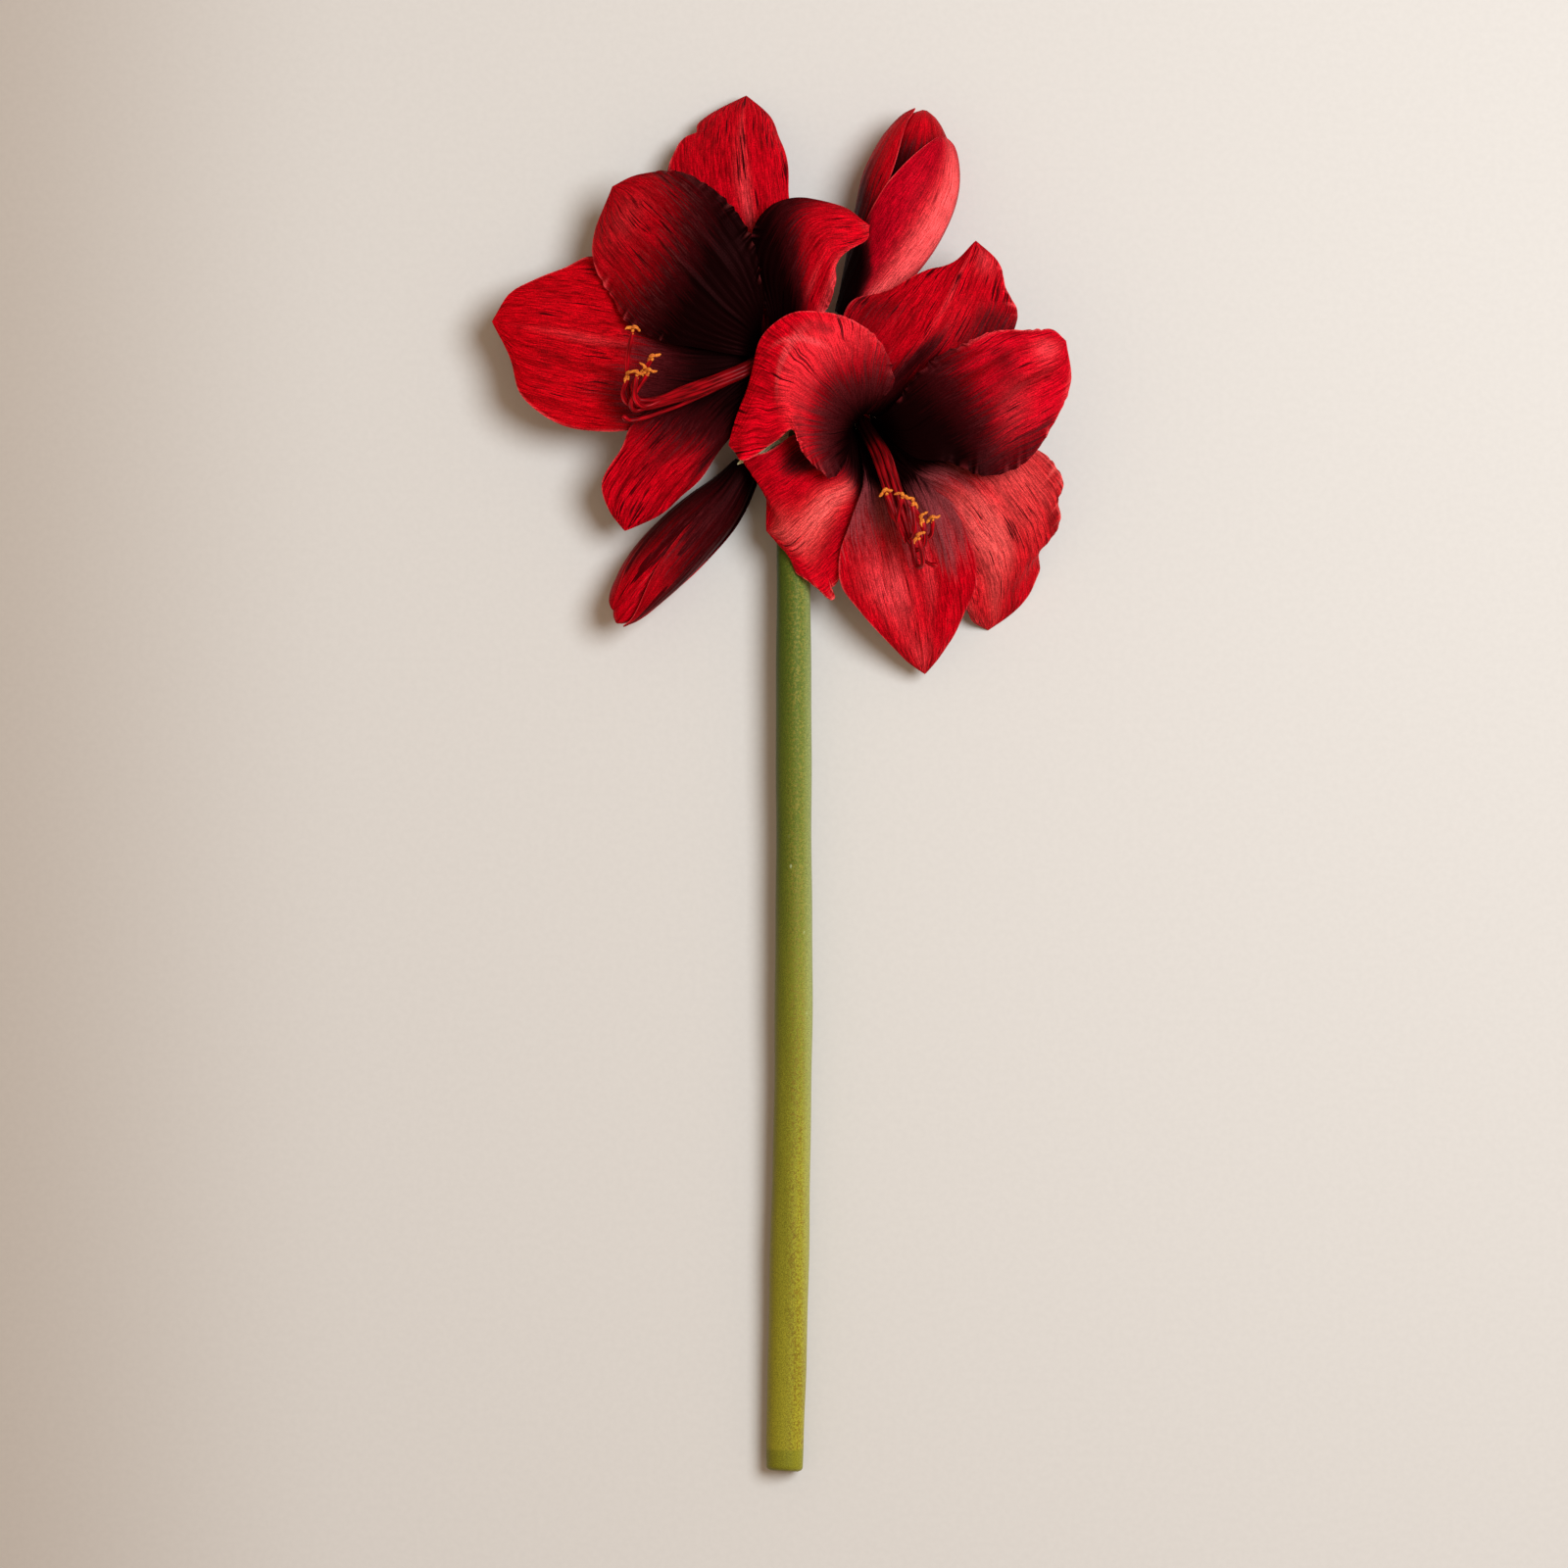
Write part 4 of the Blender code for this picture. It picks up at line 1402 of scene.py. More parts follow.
def blade_piece(
    name: str, sheet: Array, across: Array, along: Array, wall: float,
    marks: dict[str, Array], parallel: float = 0.0,
) -> tuple[Piece, float, float]:
    """A surface made a piece with a wall, its map and its marks.

    Args:
        name: the piece's name.
        sheet: the middle surface in millimetres, indexed by row and column.
        across: the columns' places, from -1 to 1.
        along: the rows' places, from 0 to 1.
        wall: the thickness, in millimetres.
        marks: what its finish reads, each indexed by row and column.
        parallel: how far its veins keep beside its midrib, from 0, where they meet at the tip, to 1.

    Returns:
        The piece, and its greatest width and its length in millimetres.
    """
    piece = laid_sheet(name, placed(sheet, wall / 2 + FLOOR_CLEARANCE), (across + 1) / 2, along)
    corners = corner_points(piece)
    spots = np.empty(len(corners) * 2, np.float32)
    piece.data.uv_layers["blade"].data.foreach_get("uv", spots)
    spots = spots.reshape(-1, 2)
    row = np.abs(spots[:, 1:] - along[None, :]).argmin(axis=1)
    column = np.abs(spots[:, :1] * 2 - 1 - across[None, :]).argmin(axis=1)
    # The rim mark places a painted highlight along the blade's edges.
    rim = np.broadcast_to(np.abs(across)[None, :], sheet.shape[:2])
    for mark, values in (marks | {"rim": rim}).items():
        of_point = np.zeros(len(piece.data.vertices))
        of_point[corners] = values[row, column]
        store(piece, mark, of_point)
    midrib = sheet[:, sheet.shape[1] // 2]
    width = np.linalg.norm(np.diff(sheet, axis=1), axis=2).sum(axis=1).max()
    beside = np.linalg.norm(sheet - midrib[:, None], axis=2) * np.sign(across) / width
    spots[:, 0] = (0.5 + across[None, :] * (1 - parallel) / 2 + beside * parallel)[row, column]
    piece.data.uv_layers["blade"].data.foreach_set("uv", spots.ravel())
    walled(piece, wall)
    return piece, float(width), float(run_along(midrib)[-1])


@dataclass(frozen=True)
class Tepal:
    """One petal or sepal of an open flower.

    The dark of the throat reaches up the near edge, the midrib and the far edge as far as reach says, in
    shares of the length, and fades over soft. The veins of one that is fanned spread out from the throat.
    """

    name: str
    angle: float
    inner: bool
    sheet: Sheet
    finish: PetalFinish
    reach: tuple[float, float, float] = (0.35, 0.35, 0.35)
    soft: float = 0.16
    patches: tuple[Patch, ...] = ()
    fanned: bool = False

    def marks(self) -> dict[str, Array]:
        """What its finish reads at each place."""
        return painted(self.reach, self.soft, self.patches, self.sheet.along(), self.sheet.across())


@dataclass(frozen=True)
class Throat:
    """Where a flower's tepals meet: its place, the way the flower faces, and the directions round it."""

    place: Place
    axis: Place

    def frame(self) -> tuple[Array, Array, Array]:
        """The directions that the flower is built on.

        Returns:
            The axis, and the two directions square to it: towards the top sepal, and to its right.
        """
        axis = unit(np.array(self.axis))
        up = unit(np.array([0.0, 1.0, 0.0]) - axis * axis[1])
        return axis, up, np.cross(up, axis)

    def round(self, angle: float) -> Array:
        """The direction from the axis at this angle round it, in degrees."""
        _, up, right = self.frame()
        return math.cos(math.radians(angle)) * right + math.sin(math.radians(angle)) * up

    def down(self, depth: float) -> Array:
        """The place on the axis this far down the tube."""
        return np.array(self.place, float) - self.frame()[0] * depth

    def claw(self, tepal: Tepal, depth: float, radius: float, half_angle: float) -> Section:
        """A tepal's section in the tube, on a ring round the axis.

        Args:
            tepal: the tepal.
            depth: how far down the tube the ring is, in millimetres.
            radius: the ring's radius, in millimetres.
            half_angle: how far it reaches round the ring on each side, in degrees.

        Returns:
            The section, with its near edge on the tepal's near side.
        """
        near, rib, far = np.asarray(tepal.sheet.sections[0], float)
        outward = rib - np.array(self.place, float)
        clockwise = np.cross(outward, far - near) @ self.frame()[0] < 0
        turn = -half_angle if clockwise else half_angle
        centre = self.down(depth)
        angles = (tepal.angle - turn, tepal.angle, tepal.angle + turn)
        return tuple(tuple(centre + radius * self.round(angle)) for angle in angles)


@dataclass(frozen=True)
class Stamens:
    """The six filaments and the style of a flower: where they run together, and where each one turns up.

    Each anther's bar leans by some degrees from square across its filament. Sizes are in millimetres.
    """

    bundle: tuple[Place, ...]
    ends: tuple[tuple[Place, Place, Place], ...]
    style_angle: float
    style: tuple[Place, ...]
    leans: tuple[float, ...] = (0.0, 60.0, -50.0, 70.0, 40.0, -20.0)
    filament_radius: float = 1.3
    tip_radius: float = 1.12
    root_radius: float = 2.5
    root_lift: float = 0.7
    first_turn: float = 60.0
    next_turn: float = 48.0
    straight: float = 9.0
    spread: float = 2.4
    anther_length: float = 8.0
    anther_radius: float = 0.92
    anther_curl: float = 1.8
    anther_points: int = 26
    anther_sides: int = 10
    anther_flattening: float = 0.8
    stub: float = 0.4
    stub_points: int = 14
    disc_radius: float = 3.9
    disc_height: float = 2.0
    disc_rings: int = 6
    disc_sides: int = 24
    style_radius: float = 0.95
    style_straight: float = 8.0
    stigma_radius: float = 1.8
    points: int = 72
    sides: int = 12

    def filament(self, throat: Throat, number: int) -> Piece:
        """One filament, from the floral disc to its anther.

        Args:
            throat: the flower's throat.
            number: which of the six it is.

        Returns:
            The filament.
        """
        axis, _, _ = throat.frame()
        floor = throat.down(DISC_DEPTH)
        sideways = throat.round(self.style_angle + self.first_turn + self.next_turn * number)
        root = floor + axis * self.root_lift + sideways * self.root_radius
        leaving = floor + axis * self.straight + sideways * self.root_radius
        middle = [np.array(place, float) + sideways * self.spread for place in self.bundle]
        share = np.linspace(0, 1, self.points)
        line = smooth_curve([root, leaving, *middle, *self.ends[number]], share)
        radii = self.filament_radius + (self.tip_radius - self.filament_radius) * share**3
        return tube(f"filament_{number}", line, rounded_ends(radii), self.sides)

    def anther(self, number: int) -> Piece:
        """One anther, hung by its middle across the end of its filament, curled a little, over a dusted stub.

        Args:
            number: which of the six it is.

        Returns:
            The anther.
        """
        ends = np.asarray(self.ends[number], float)
        heading = unit(ends[2] - ends[1])
        across = unit(np.cross(heading, (0.3, 0.2, 1.0)))
        over = np.cross(across, heading)
        lean = math.radians(self.leans[number])
        bar_way = math.cos(lean) * across + math.sin(lean) * heading
        bar_side = math.cos(lean) * heading - math.sin(lean) * across
        reach = np.linspace(-1, 1, self.anther_points)
        droop = self.anther_curl * (0.5 - reach**2) + 0.5 * np.sin(5 * reach + 2 * number)
        wave = self.anther_curl / 2 * np.sin(3.5 * reach + 1.7 * number)
        line = ends[2] + np.outer(reach * self.anther_length / 2, bar_way)
        line = line + np.outer(droop, bar_side) + np.outer(wave, over)
        knobs = 1 + 0.16 * np.sin(9 * reach + 2 * number) + 0.1 * np.sin(17 * reach)
        radii = self.anther_radius * knobs * np.sqrt(np.clip(1 - reach**2 * 0.82, 0.05, 1))
        flat = self.anther_flattening
        bar = tube(f"anther_{number}", line, rounded_ends(radii, 2), self.anther_sides, flat)
        steps = np.linspace(0, 1, self.stub_points)
        dusted = ends[2] + np.outer((steps - 1) * self.stub * self.anther_length, heading)
        girth = self.anther_radius * (0.85 + 0.15 * np.sin(11 * steps + number))
        stub = tube(f"dusted_{number}", dusted, rounded_ends(girth), self.anther_sides)
        return joined(bar.name, [bar, stub])

    def disc(self, throat: Throat) -> Piece:
        """The floral disc at the bottom of the tube, which carries the filaments.

        Args:
            throat: the flower's throat.

        Returns:
            The disc.
        """
        axis, _, _ = throat.frame()
        floor = throat.down(DISC_DEPTH)
        steps = np.linspace(0, self.disc_height, self.disc_rings)
        line = np.array([floor + axis * step for step in steps])
        radii = rounded_ends(np.full(self.disc_rings, self.disc_radius), 2)
        return tube("disc", line, radii, self.disc_sides)

    def pistil(self, throat: Throat, name: str) -> Piece:
        """The style and its stigma.

        Args:
            throat: the flower's throat.
            name: the name of the piece.

        Returns:
            The piece.
        """
        axis, _, _ = throat.frame()
        start = throat.down(STYLE_DEPTH) + throat.round(self.style_angle)
        share = np.linspace(0, 1, self.points)
        line = smooth_curve([start, start + axis * self.style_straight, *self.style], share)
        radii = self.style_radius + (self.stigma_radius - self.style_radius) * smooth_step(share, 0.95, 1.0)
        return tube(name, line, rounded_ends(radii, 2), self.sides)


@dataclass(frozen=True)
class Bloom:
    """An open flower: its throat, its stalk, its six tepals and its stamens.

    The stalk's line passes the throat's axis at the stalk depths.
    """

    name: str
    throat: Throat
    stalk: tuple[Place, ...]
    tepals: tuple[Tepal, ...]
    stamens: Stamens
    outer_half_angle: float = OUTER_THROAT_HALF_ANGLE
    stalk_depths: tuple[float, ...] = (OVARY_DEPTH + STALK_MARGIN, TUBE_DEPTH + STALK_MARGIN, RECEPTACLE_TOP)

    def build_tepal(self, tepal: Tepal, groups: Groups) -> None:
        """Makes one tepal, from its claw in the tube to its tip.

        Args:
            tepal: the tepal.
            groups: the shader groups.
        """
        radius = INNER_THROAT_RADIUS if tepal.inner else OUTER_THROAT_RADIUS
        half_angle = INNER_THROAT_HALF_ANGLE if tepal.inner else self.outer_half_angle
        claw = self.throat.claw(tepal, TUBE_DEPTH, CLAW_RADIUS, CLAW_HALF_ANGLE)
        ring = self.throat.claw(tepal, 0.0, radius, half_angle)
        whole = replace(tepal.sheet, sections=(claw, ring, *tepal.sheet.sections))
        node = f"{self.name}_{tepal.name}"
        piece, width, length = whole.build(node + "_look", TEPAL_WALL, tepal.marks())
        if tepal.fanned:
            width, length = self.fan_map(piece)
        finish = replace(tepal.finish, width=width, length=length)
        hand_over(piece, Slot.TEPAL, finish.material(node, groups), node)

    def fan_map(self, piece: Piece) -> tuple[float, float]:
        """Lays a piece's map out round the throat, so that its veins fan out from there.

        Args:
            piece: the piece.

        Returns:
            The width and the length that the map's unit square stands for, in millimetres.
        """
        away = point_places(piece)[:, :2] - placed(np.array(self.throat.place))[:2]
        turn = (np.degrees(np.arctan2(away[:, 1], away[:, 0])) - FAN_START) % 360 / FAN_SPAN
        far = np.linalg.norm(away, axis=1) / MM / FAN_REACH
        spots = np.stack([FAN_MARGIN + (1 - 2 * FAN_MARGIN) * turn, far], 1)
        layer = piece.data.uv_layers["blade"]
        layer.data.foreach_set("uv", spots[corner_points(piece)].ravel())
        return FAN_REACH, FAN_REACH

    def build_pedicel(self, finish: Material) -> None:
        """Makes the stalk, the ovary and the receptacle inside the claws.

        Args:
            finish: its finish.
        """
        ends = [self.throat.down(depth) for depth in self.stalk_depths]
        line = smooth_curve([*self.stalk, *ends], np.linspace(0, 1, PEDICEL_POINTS))
        neck = np.linalg.norm(line - np.array(self.throat.place, float), axis=1)
        ovary = np.exp(-(((neck - OVARY_DEPTH) / OVARY_LENGTH) ** 2))
        receptacle = np.clip((OVARY_DEPTH - neck) / RECEPTACLE_LENGTH, 0, 1)
        radii = STALK_RADIUS + OVARY_SWELL * ovary + (RECEPTACLE_RADIUS - STALK_RADIUS) * receptacle
        node = f"{self.name}_pedicel"
        hand_over(tube(node + "_look", line, radii, STALK_SIDES), Slot.STALK, finish, node)

    def build_stamens(self, filament: Material, pollen: Material) -> None:
        """Makes the filaments, the anthers and the style.

        Args:
            filament: the finish of the filaments and the style.
            pollen: the finish of the anthers.
        """
        node = f"{self.name}_stamens"
        count = range(len(self.stamens.ends))
        threads = [self.stamens.disc(self.throat)] + [self.stamens.filament(self.throat, n) for n in count]
        hand_over(joined(f"{self.name}_filaments", threads), Slot.FILAMENT, filament, node)
        anthers = joined(f"{self.name}_anthers", [self.stamens.anther(n) for n in count])
        hand_over(anthers, Slot.FILAMENT, pollen, node)
        style = f"{self.name}_style"
        hand_over(self.stamens.pistil(self.throat, style + "_look"), Slot.FILAMENT, filament, style)

    def build(self, groups: Groups, finishes: dict[str, Material]) -> None:
        """Makes all the pieces of the flower.

        Args:
            groups: the shader groups.
            finishes: the finishes that flowers share, by name.
        """
        self.build_pedicel(finishes["stalk"])
        for tepal in self.tepals:
            self.build_tepal(tepal, groups)
        self.build_stamens(finishes["filament"], finishes["anther"])


@dataclass(frozen=True)
class BudSepal:
    """One of the sepals wrapped round a bud: its angle, how far along the bud it reaches, and its finish.

    Its edges stand out or in by millimetres; if they are left out, one is outside and the other inside.
    """

    name: str
    angle: float
    reach: float
    finish: PetalFinish
    dark: tuple[float, float, float] = (0.1, 0.1, 0.1)
    soft: float = 0.12
    patches: tuple[Patch, ...] = ()
    edges: tuple[float, float] | None = None


@dataclass(frozen=True)
class Bud:
    """A closed bud: its stalk, its bent axis, its girth and the three sepals wrapped round it.

    The sepals turn by the twist, in degrees, from base to tip. The hand says which edge of each is outside.
    The girth is pairs of a share of the length and a radius. The stalk's line ends at margins below the base.
    """

    name: str
    stalk: tuple[Place, ...]
    axis: tuple[Place, ...]
    radii: tuple[tuple[float, float], ...]
    twist: float
    hand: int
    sepals: tuple[BudSepal, ...]
    furled: PetalFinish
    lift: float = 2.0
    half_angle: float = 66.0
    # How far from the tip the furled petals stay unshaded before the painted shade under the sepals begins,
    # in millimetres
    tip_light: float = 22.0
    rib_height: float = 0.12
    ribs: float = 26.0
    sepal_start: float = 0.02
    tip_power: int = 5
    tip_closing: float = 0.03
    stalk_margins: tuple[float, float] = (4.5, 0.45)
    rows: int = 110
    columns: int = 57

    def girth(self, shares: Array) -> Array:
        """The bud's radius at shares of its length."""
        at, radius = zip(*self.radii)
        return smooth_curve([(r, 0, 0) for r in radius], shares, np.array(at))[:, 0]

    def build_sepal(self, sepal: BudSepal, groups: Groups) -> None:
        """Makes one sepal, one edge over its neighbour and the other under.

        Args:
            sepal: the sepal.
            groups: the shader groups.
        """
        shares = np.linspace(self.sepal_start, sepal.reach, self.rows)
        line = smooth_curve(self.axis, shares)
        side, up = carried_frames(line)
        u, v = np.linspace(0, 1, self.rows), np.linspace(-1, 1, self.columns)
        closing = u[:, None]
        half = self.half_angle * np.sqrt(1 - closing**self.tip_power)
        turn = np.radians(sepal.angle + self.twist * closing + half * v[None, :])[..., None]
        ribs = self.rib_height * np.cos(self.ribs * v)[None, :] * np.sin(math.pi * closing) ** 0.5
        near, far = sepal.edges or (-self.hand, self.hand)
        stand = (near + far) / 2 + v[None, :] * (far - near) / 2
        opening = np.clip((1 - closing) / self.tip_closing, 0, 1)
        radius = self.girth(shares)[:, None] + self.lift + stand * opening + ribs
        outward = np.cos(turn) * side[:, None] + np.sin(turn) * up[:, None]
        sheet = line[:, None] + radius[..., None] * outward
        node = f"{self.name}_{sepal.name}_sepal"
        marks = painted(sepal.dark, sepal.soft, sepal.patches, u, v)
        piece, width, length = blade_piece(node + "_look", sheet, v, u, BUD_WALL, marks)
        finish = replace(sepal.finish, width=width, length=length)
        hand_over(piece, Slot.BUD, finish.material(node, groups), node)

    def build_core(self, groups: Groups) -> None:
        """Makes the furled petals that show at the bud's tip, with painted shade on them away from it, where
        the sepals cover them.

        Args:
            groups: the shader groups.
        """
        shares = np.linspace(0, 1, CORE_POINTS)
        line = smooth_curve(self.axis, shares)
        node = f"{self.name}_furled_petals"
        piece = tube(node + "_look", line, rounded_ends(self.girth(shares), 2), CORE_SIDES)
        distance = np.linalg.norm(point_places(piece) - placed(line[-1]), axis=1) / MM
        # Painted shade on the furled petals away from the tip, where the sepals cover them.
        store(piece, "shade", (distance - self.tip_light) / TIP_FADE)
        hand_over(piece, Slot.BUD, self.furled.material(node, groups), node)

    def build_stalk(self, finish: Material) -> None:
        """Makes the bud's stalk.

        Args:
            finish: its finish.
        """
        base = np.array(self.axis[0], float)
        heading = unit(np.array(self.axis[1], float) - base)
        shares = np.linspace(0, 1, BUD_STALK_POINTS)
        ends = [base - heading * margin for margin in self.stalk_margins]
        line = smooth_curve([*self.stalk, *ends], shares)
        radii = np.linspace(STALK_RADIUS, STALK_END_RADIUS, BUD_STALK_POINTS)
        node = f"{self.name}_pedicel"
        hand_over(tube(node + "_look", line, radii, STALK_SIDES), Slot.STALK, finish, node)

    def build(self, groups: Groups, finishes: dict[str, Material]) -> None:
        """Makes all the pieces of the bud.

        Args:
            groups: the shader groups.
            finishes: the finishes that flowers share, by name.
        """
        self.build_stalk(finishes["stalk"])
        self.build_core(groups)
        for sepal in self.sepals:
            self.build_sepal(sepal, groups)


@dataclass(frozen=True)
class Scape:
    """The thick leafless stalk: its middle line, its half width along it, and its rounded cut end.

    Sizes are in millimetres. The end rounds off over end_length, up to end_radius.
    """

    line: tuple[Place, ...] = (
        (0.2, -336.5, 8.6), (0.3, -334, 8.6), (0.5, -318, 8.7), (1.4, -288, 9.3), (3.1, -211, 11.3),
        (4.4, -144, 12.9), (4.8, -96, 14.1), (4.8, 0, 16.2), (4.7, 70, 17.9), (4.8, 120, 19.1),
        (5.4, 158, 19.8), (5.8, 173, 20.0),
    )
    half_widths: tuple[float, ...] = (6.6, 8.9, 9.4, 9.6, 9.4, 9.2, 9.1, 8.7, 8.5, 8.4, 8.6, 9.4)
    flattening: float = 0.96
    unevenness: float = 0.16
    end_length: float = 2.6
    end_radius: float = 8.95
    end_rings: int = 24
    rings: int = 260
    sides: int = 64

    def build(self, finish: Material) -> None:
        """Makes the scape, its width a little uneven as it grew.

        Args:
            finish: its finish.
        """
        knots = chord_shares(np.array(self.line, float))
        end = np.linspace(0, knots[2], self.end_rings)[:-1]
        shares = np.concatenate([end, np.linspace(knots[2], 1, self.rings)])
        line = smooth_curve(self.line, shares)
        radii = np.interp(shares, knots, self.half_widths)
        down = (line[:, 1] - line[0, 1]) / self.end_length
        dome = np.sqrt(np.clip(1 - (1 - down) ** 2, 0, 1))
        radii = np.where(down < 1, radii[0] + (self.end_radius - radii[0]) * dome, radii)
        waves = np.sin(line[:, 1] / 21) + 0.6 * np.sin(line[:, 1] / 9.3 + 1)
        radii = radii + self.unevenness * waves * smooth_step(down, 2, 8)
        piece = tube("scape_look", line, radii, self.sides, self.flattening)
        hand_over(piece, Slot.SCAPE, finish, "scape")


@dataclass(frozen=True)
class Spathe:
    """The two dry bracts that once held the buds."""

    left: Sheet
    right: Sheet

    def build(self, finish: Material) -> None:
        """Makes both bracts.

        Args:
            finish: their finish.
        """
        for name, sheet in (("spathe_left", self.left), ("spathe_right", self.right)):
            piece, _, _ = sheet.build(name + "_look", BRACT_WALL, {})
            hand_over(piece, Slot.SPATHE, finish, name)


@dataclass(frozen=True)
class Studio:
    """The pale floor, the large soft lamp up on the right and the camera straight above.

    Lengths are in metres, the camera's sensor in millimetres, and angles in degrees.
    """

    floor_size: float = 8.0
    floor_height: float = -0.0001
    elevation: float = 62.0
    azimuth: float = 27.0
    distance: float = 2.2
    lamp_width: float = 1.15
    power: float = 60.0
    key: Colour = (0.805, 0.905, 1.0)
    fill: Colour = (0.49, 0.38, 0.28)
    sensor: float = 36.0
    view_end: float = 20.0

    def lay_floor(self, finish: Material) -> None:
        """Lays the floor just under the stem.

        Args:
            finish: its finish.
        """
        deselect_all()
        bpy.ops.mesh.primitive_plane_add(size=self.floor_size, location=(0, 0, self.floor_height))
        floor = bpy.context.object
        floor.name = "floor"
        floor.data.materials.append(finish)

    def hang_lights(self) -> None:
        """Hangs the lamp, and sets the warm light all round."""
        height, turn = math.radians(self.elevation), math.radians(self.azimuth)
        toward = np.array([
            math.cos(height) * math.cos(turn), math.cos(height) * math.sin(turn), math.sin(height)
        ])
        deselect_all()
        bpy.ops.object.light_add(type="AREA", location=toward * self.distance)
        window = bpy.context.object
        window.name = "window"
        window.rotation_euler = (0.0, math.pi / 2 - height, turn)
        window.data.shape = "DISK"
        window.data.size = self.lamp_width
        window.data.energy = self.power
        window.data.color = self.key
        world = bpy.data.worlds.new("room")
        bpy.context.scene.world = world
        world.use_nodes = True
        world.node_tree.nodes["Background"].inputs["Color"].default_value = (*self.fill, 1.0)

    def hang_camera(self) -> None:
        """Hangs the camera where the stem is seen as in a flat lay."""
        deselect_all()
        seat = (STEM_SHIFT[0] * MM, STEM_SHIFT[1] * MM, EYE_HEIGHT * MM)
        bpy.ops.object.camera_add(location=seat, rotation=(0.0, 0.0, 0.0))
        camera = bpy.context.object
        camera.data.sensor_width = self.sensor
        camera.data.lens = self.sensor * (EYE_HEIGHT - EYE_FOCUS) / FRAME_WIDTH
        camera.data.clip_end = self.view_end
        bpy.context.scene.camera = camera
        bpy.context.scene.view_settings.view_transform = "Standard"

    def build(self, groups: Groups) -> None:
        """Sets up the studio.

        Args:
            groups: the shader groups.
        """
        self.hang_camera()
        self.lay_floor(FloorFinish().material("floor", groups))
        self.hang_lights()


RIGHT_TOP_SEPAL = Tepal(
    "top_sepal", angle=90, inner=False,
    sheet=Sheet(
        sections=(
            ((36, 192, 46), (47, 192, 48), (61, 186, 47)),
            ((28, 216, 51), (58, 206, 55), (84, 203, 53)),
            ((33, 236, 52), (69, 221, 58), (106, 212, 52)),
            ((53, 243, 51), (79, 237, 57), (114, 229, 50)),
            ((71, 251, 49), (85, 249, 53), (109, 243, 48)),
            ((84, 256, 46), (90, 257.5, 48), (105.5, 255, 45)),
        ),
        tip=(94, 266, 43.5), frill=(1.2, 3.5, 40),
        folds=(Fold(0.0, 0.05, 0.25, 0.98, 1.6, 0.09), Fold(0.5, 0.35, 0.3, 0.8, -0.9, 0.12)),
        crimps=(Crimp(FAR, 0.55, 0.95, 0.5, 7.0),),
    ),
    finish=PetalFinish(streaks=0.9, seed=1.0),
    reach=(0.47, 0.36, 0.60), soft=0.15,
    patches=(
        # The first dark patch is a painted shadow cast by the edge of the upper right petal.
        Patch(DARK, 0.16, 0.47, 0.16, 0.15, 1.6), Patch(DARK, 0.6, 0.7, 0.4, 0.15, 1.7),
        Patch(DARK, -0.6, 0.62, 0.4, 0.12, 1.5), Patch(CORAL, 0.6, 0.92, 0.3, 0.06, 0.35),
        Patch(CORAL, 0.04, 0.8, 0.035, 0.2, 0.35),
    ),
)

RIGHT_UPPER_RIGHT_PETAL = Tepal(
    "upper_right_petal", angle=30, inner=True,
    sheet=Sheet(
        sections=(
            ((54, 186, 54), (60, 172, 50), (64, 160, 51)),
            ((66, 202, 62), (77, 182, 57), (80, 158, 57)),
            ((86, 215, 66), (97, 193, 61), (98, 151, 59)),
            ((105, 222, 66), (113, 203, 63), (115, 155.5, 56)),
            ((122, 222, 64), (125, 208, 62), (129, 171, 55)),
            ((132, 222.5, 60), (134, 212, 60), (140.5, 195, 54)),
        ),
        tip=(138, 217, 56), frill=(1.5, 4.5, 0),
        folds=(Fold(0.0, 0.0, 0.25, 0.95, 0.9, 0.06), Fold(0.55, 0.7, 0.45, 0.95, -1.0, 0.14)),
        crimps=(Crimp(NEAR, 0.25, 0.95, 1.3, 6.5, 11.0), Crimp(FAR, 0.4, 0.97, 1.2, 7.5, 12.0)),
    ),
    finish=PetalFinish(streaks=0.7, seed=2.0, bright=(0.58, 0.0008, 0.010)),
    reach=(0.60, 0.62, 0.78), soft=0.13,
    patches=(
        Patch(CORAL, -0.15, 0.9, 0.3, 0.05, 0.6), Patch(CORAL, 0.45, 0.74, 0.3, 0.07, 0.3),
        Patch(DARK, -0.3, 0.74, 0.4, 0.06, 0.9), Patch(CORAL, -0.95, 0.8, 0.06, 0.2, 0.5),
        Patch(DARK, 0.2, 0.8, 0.5, 0.08, 0.7), Patch(DARK, 0.9, 0.85, 0.15, 0.1, 0.9),
        Patch(CORAL, 0.95, 0.95, 0.1, 0.03, 0.6),
    ),
)

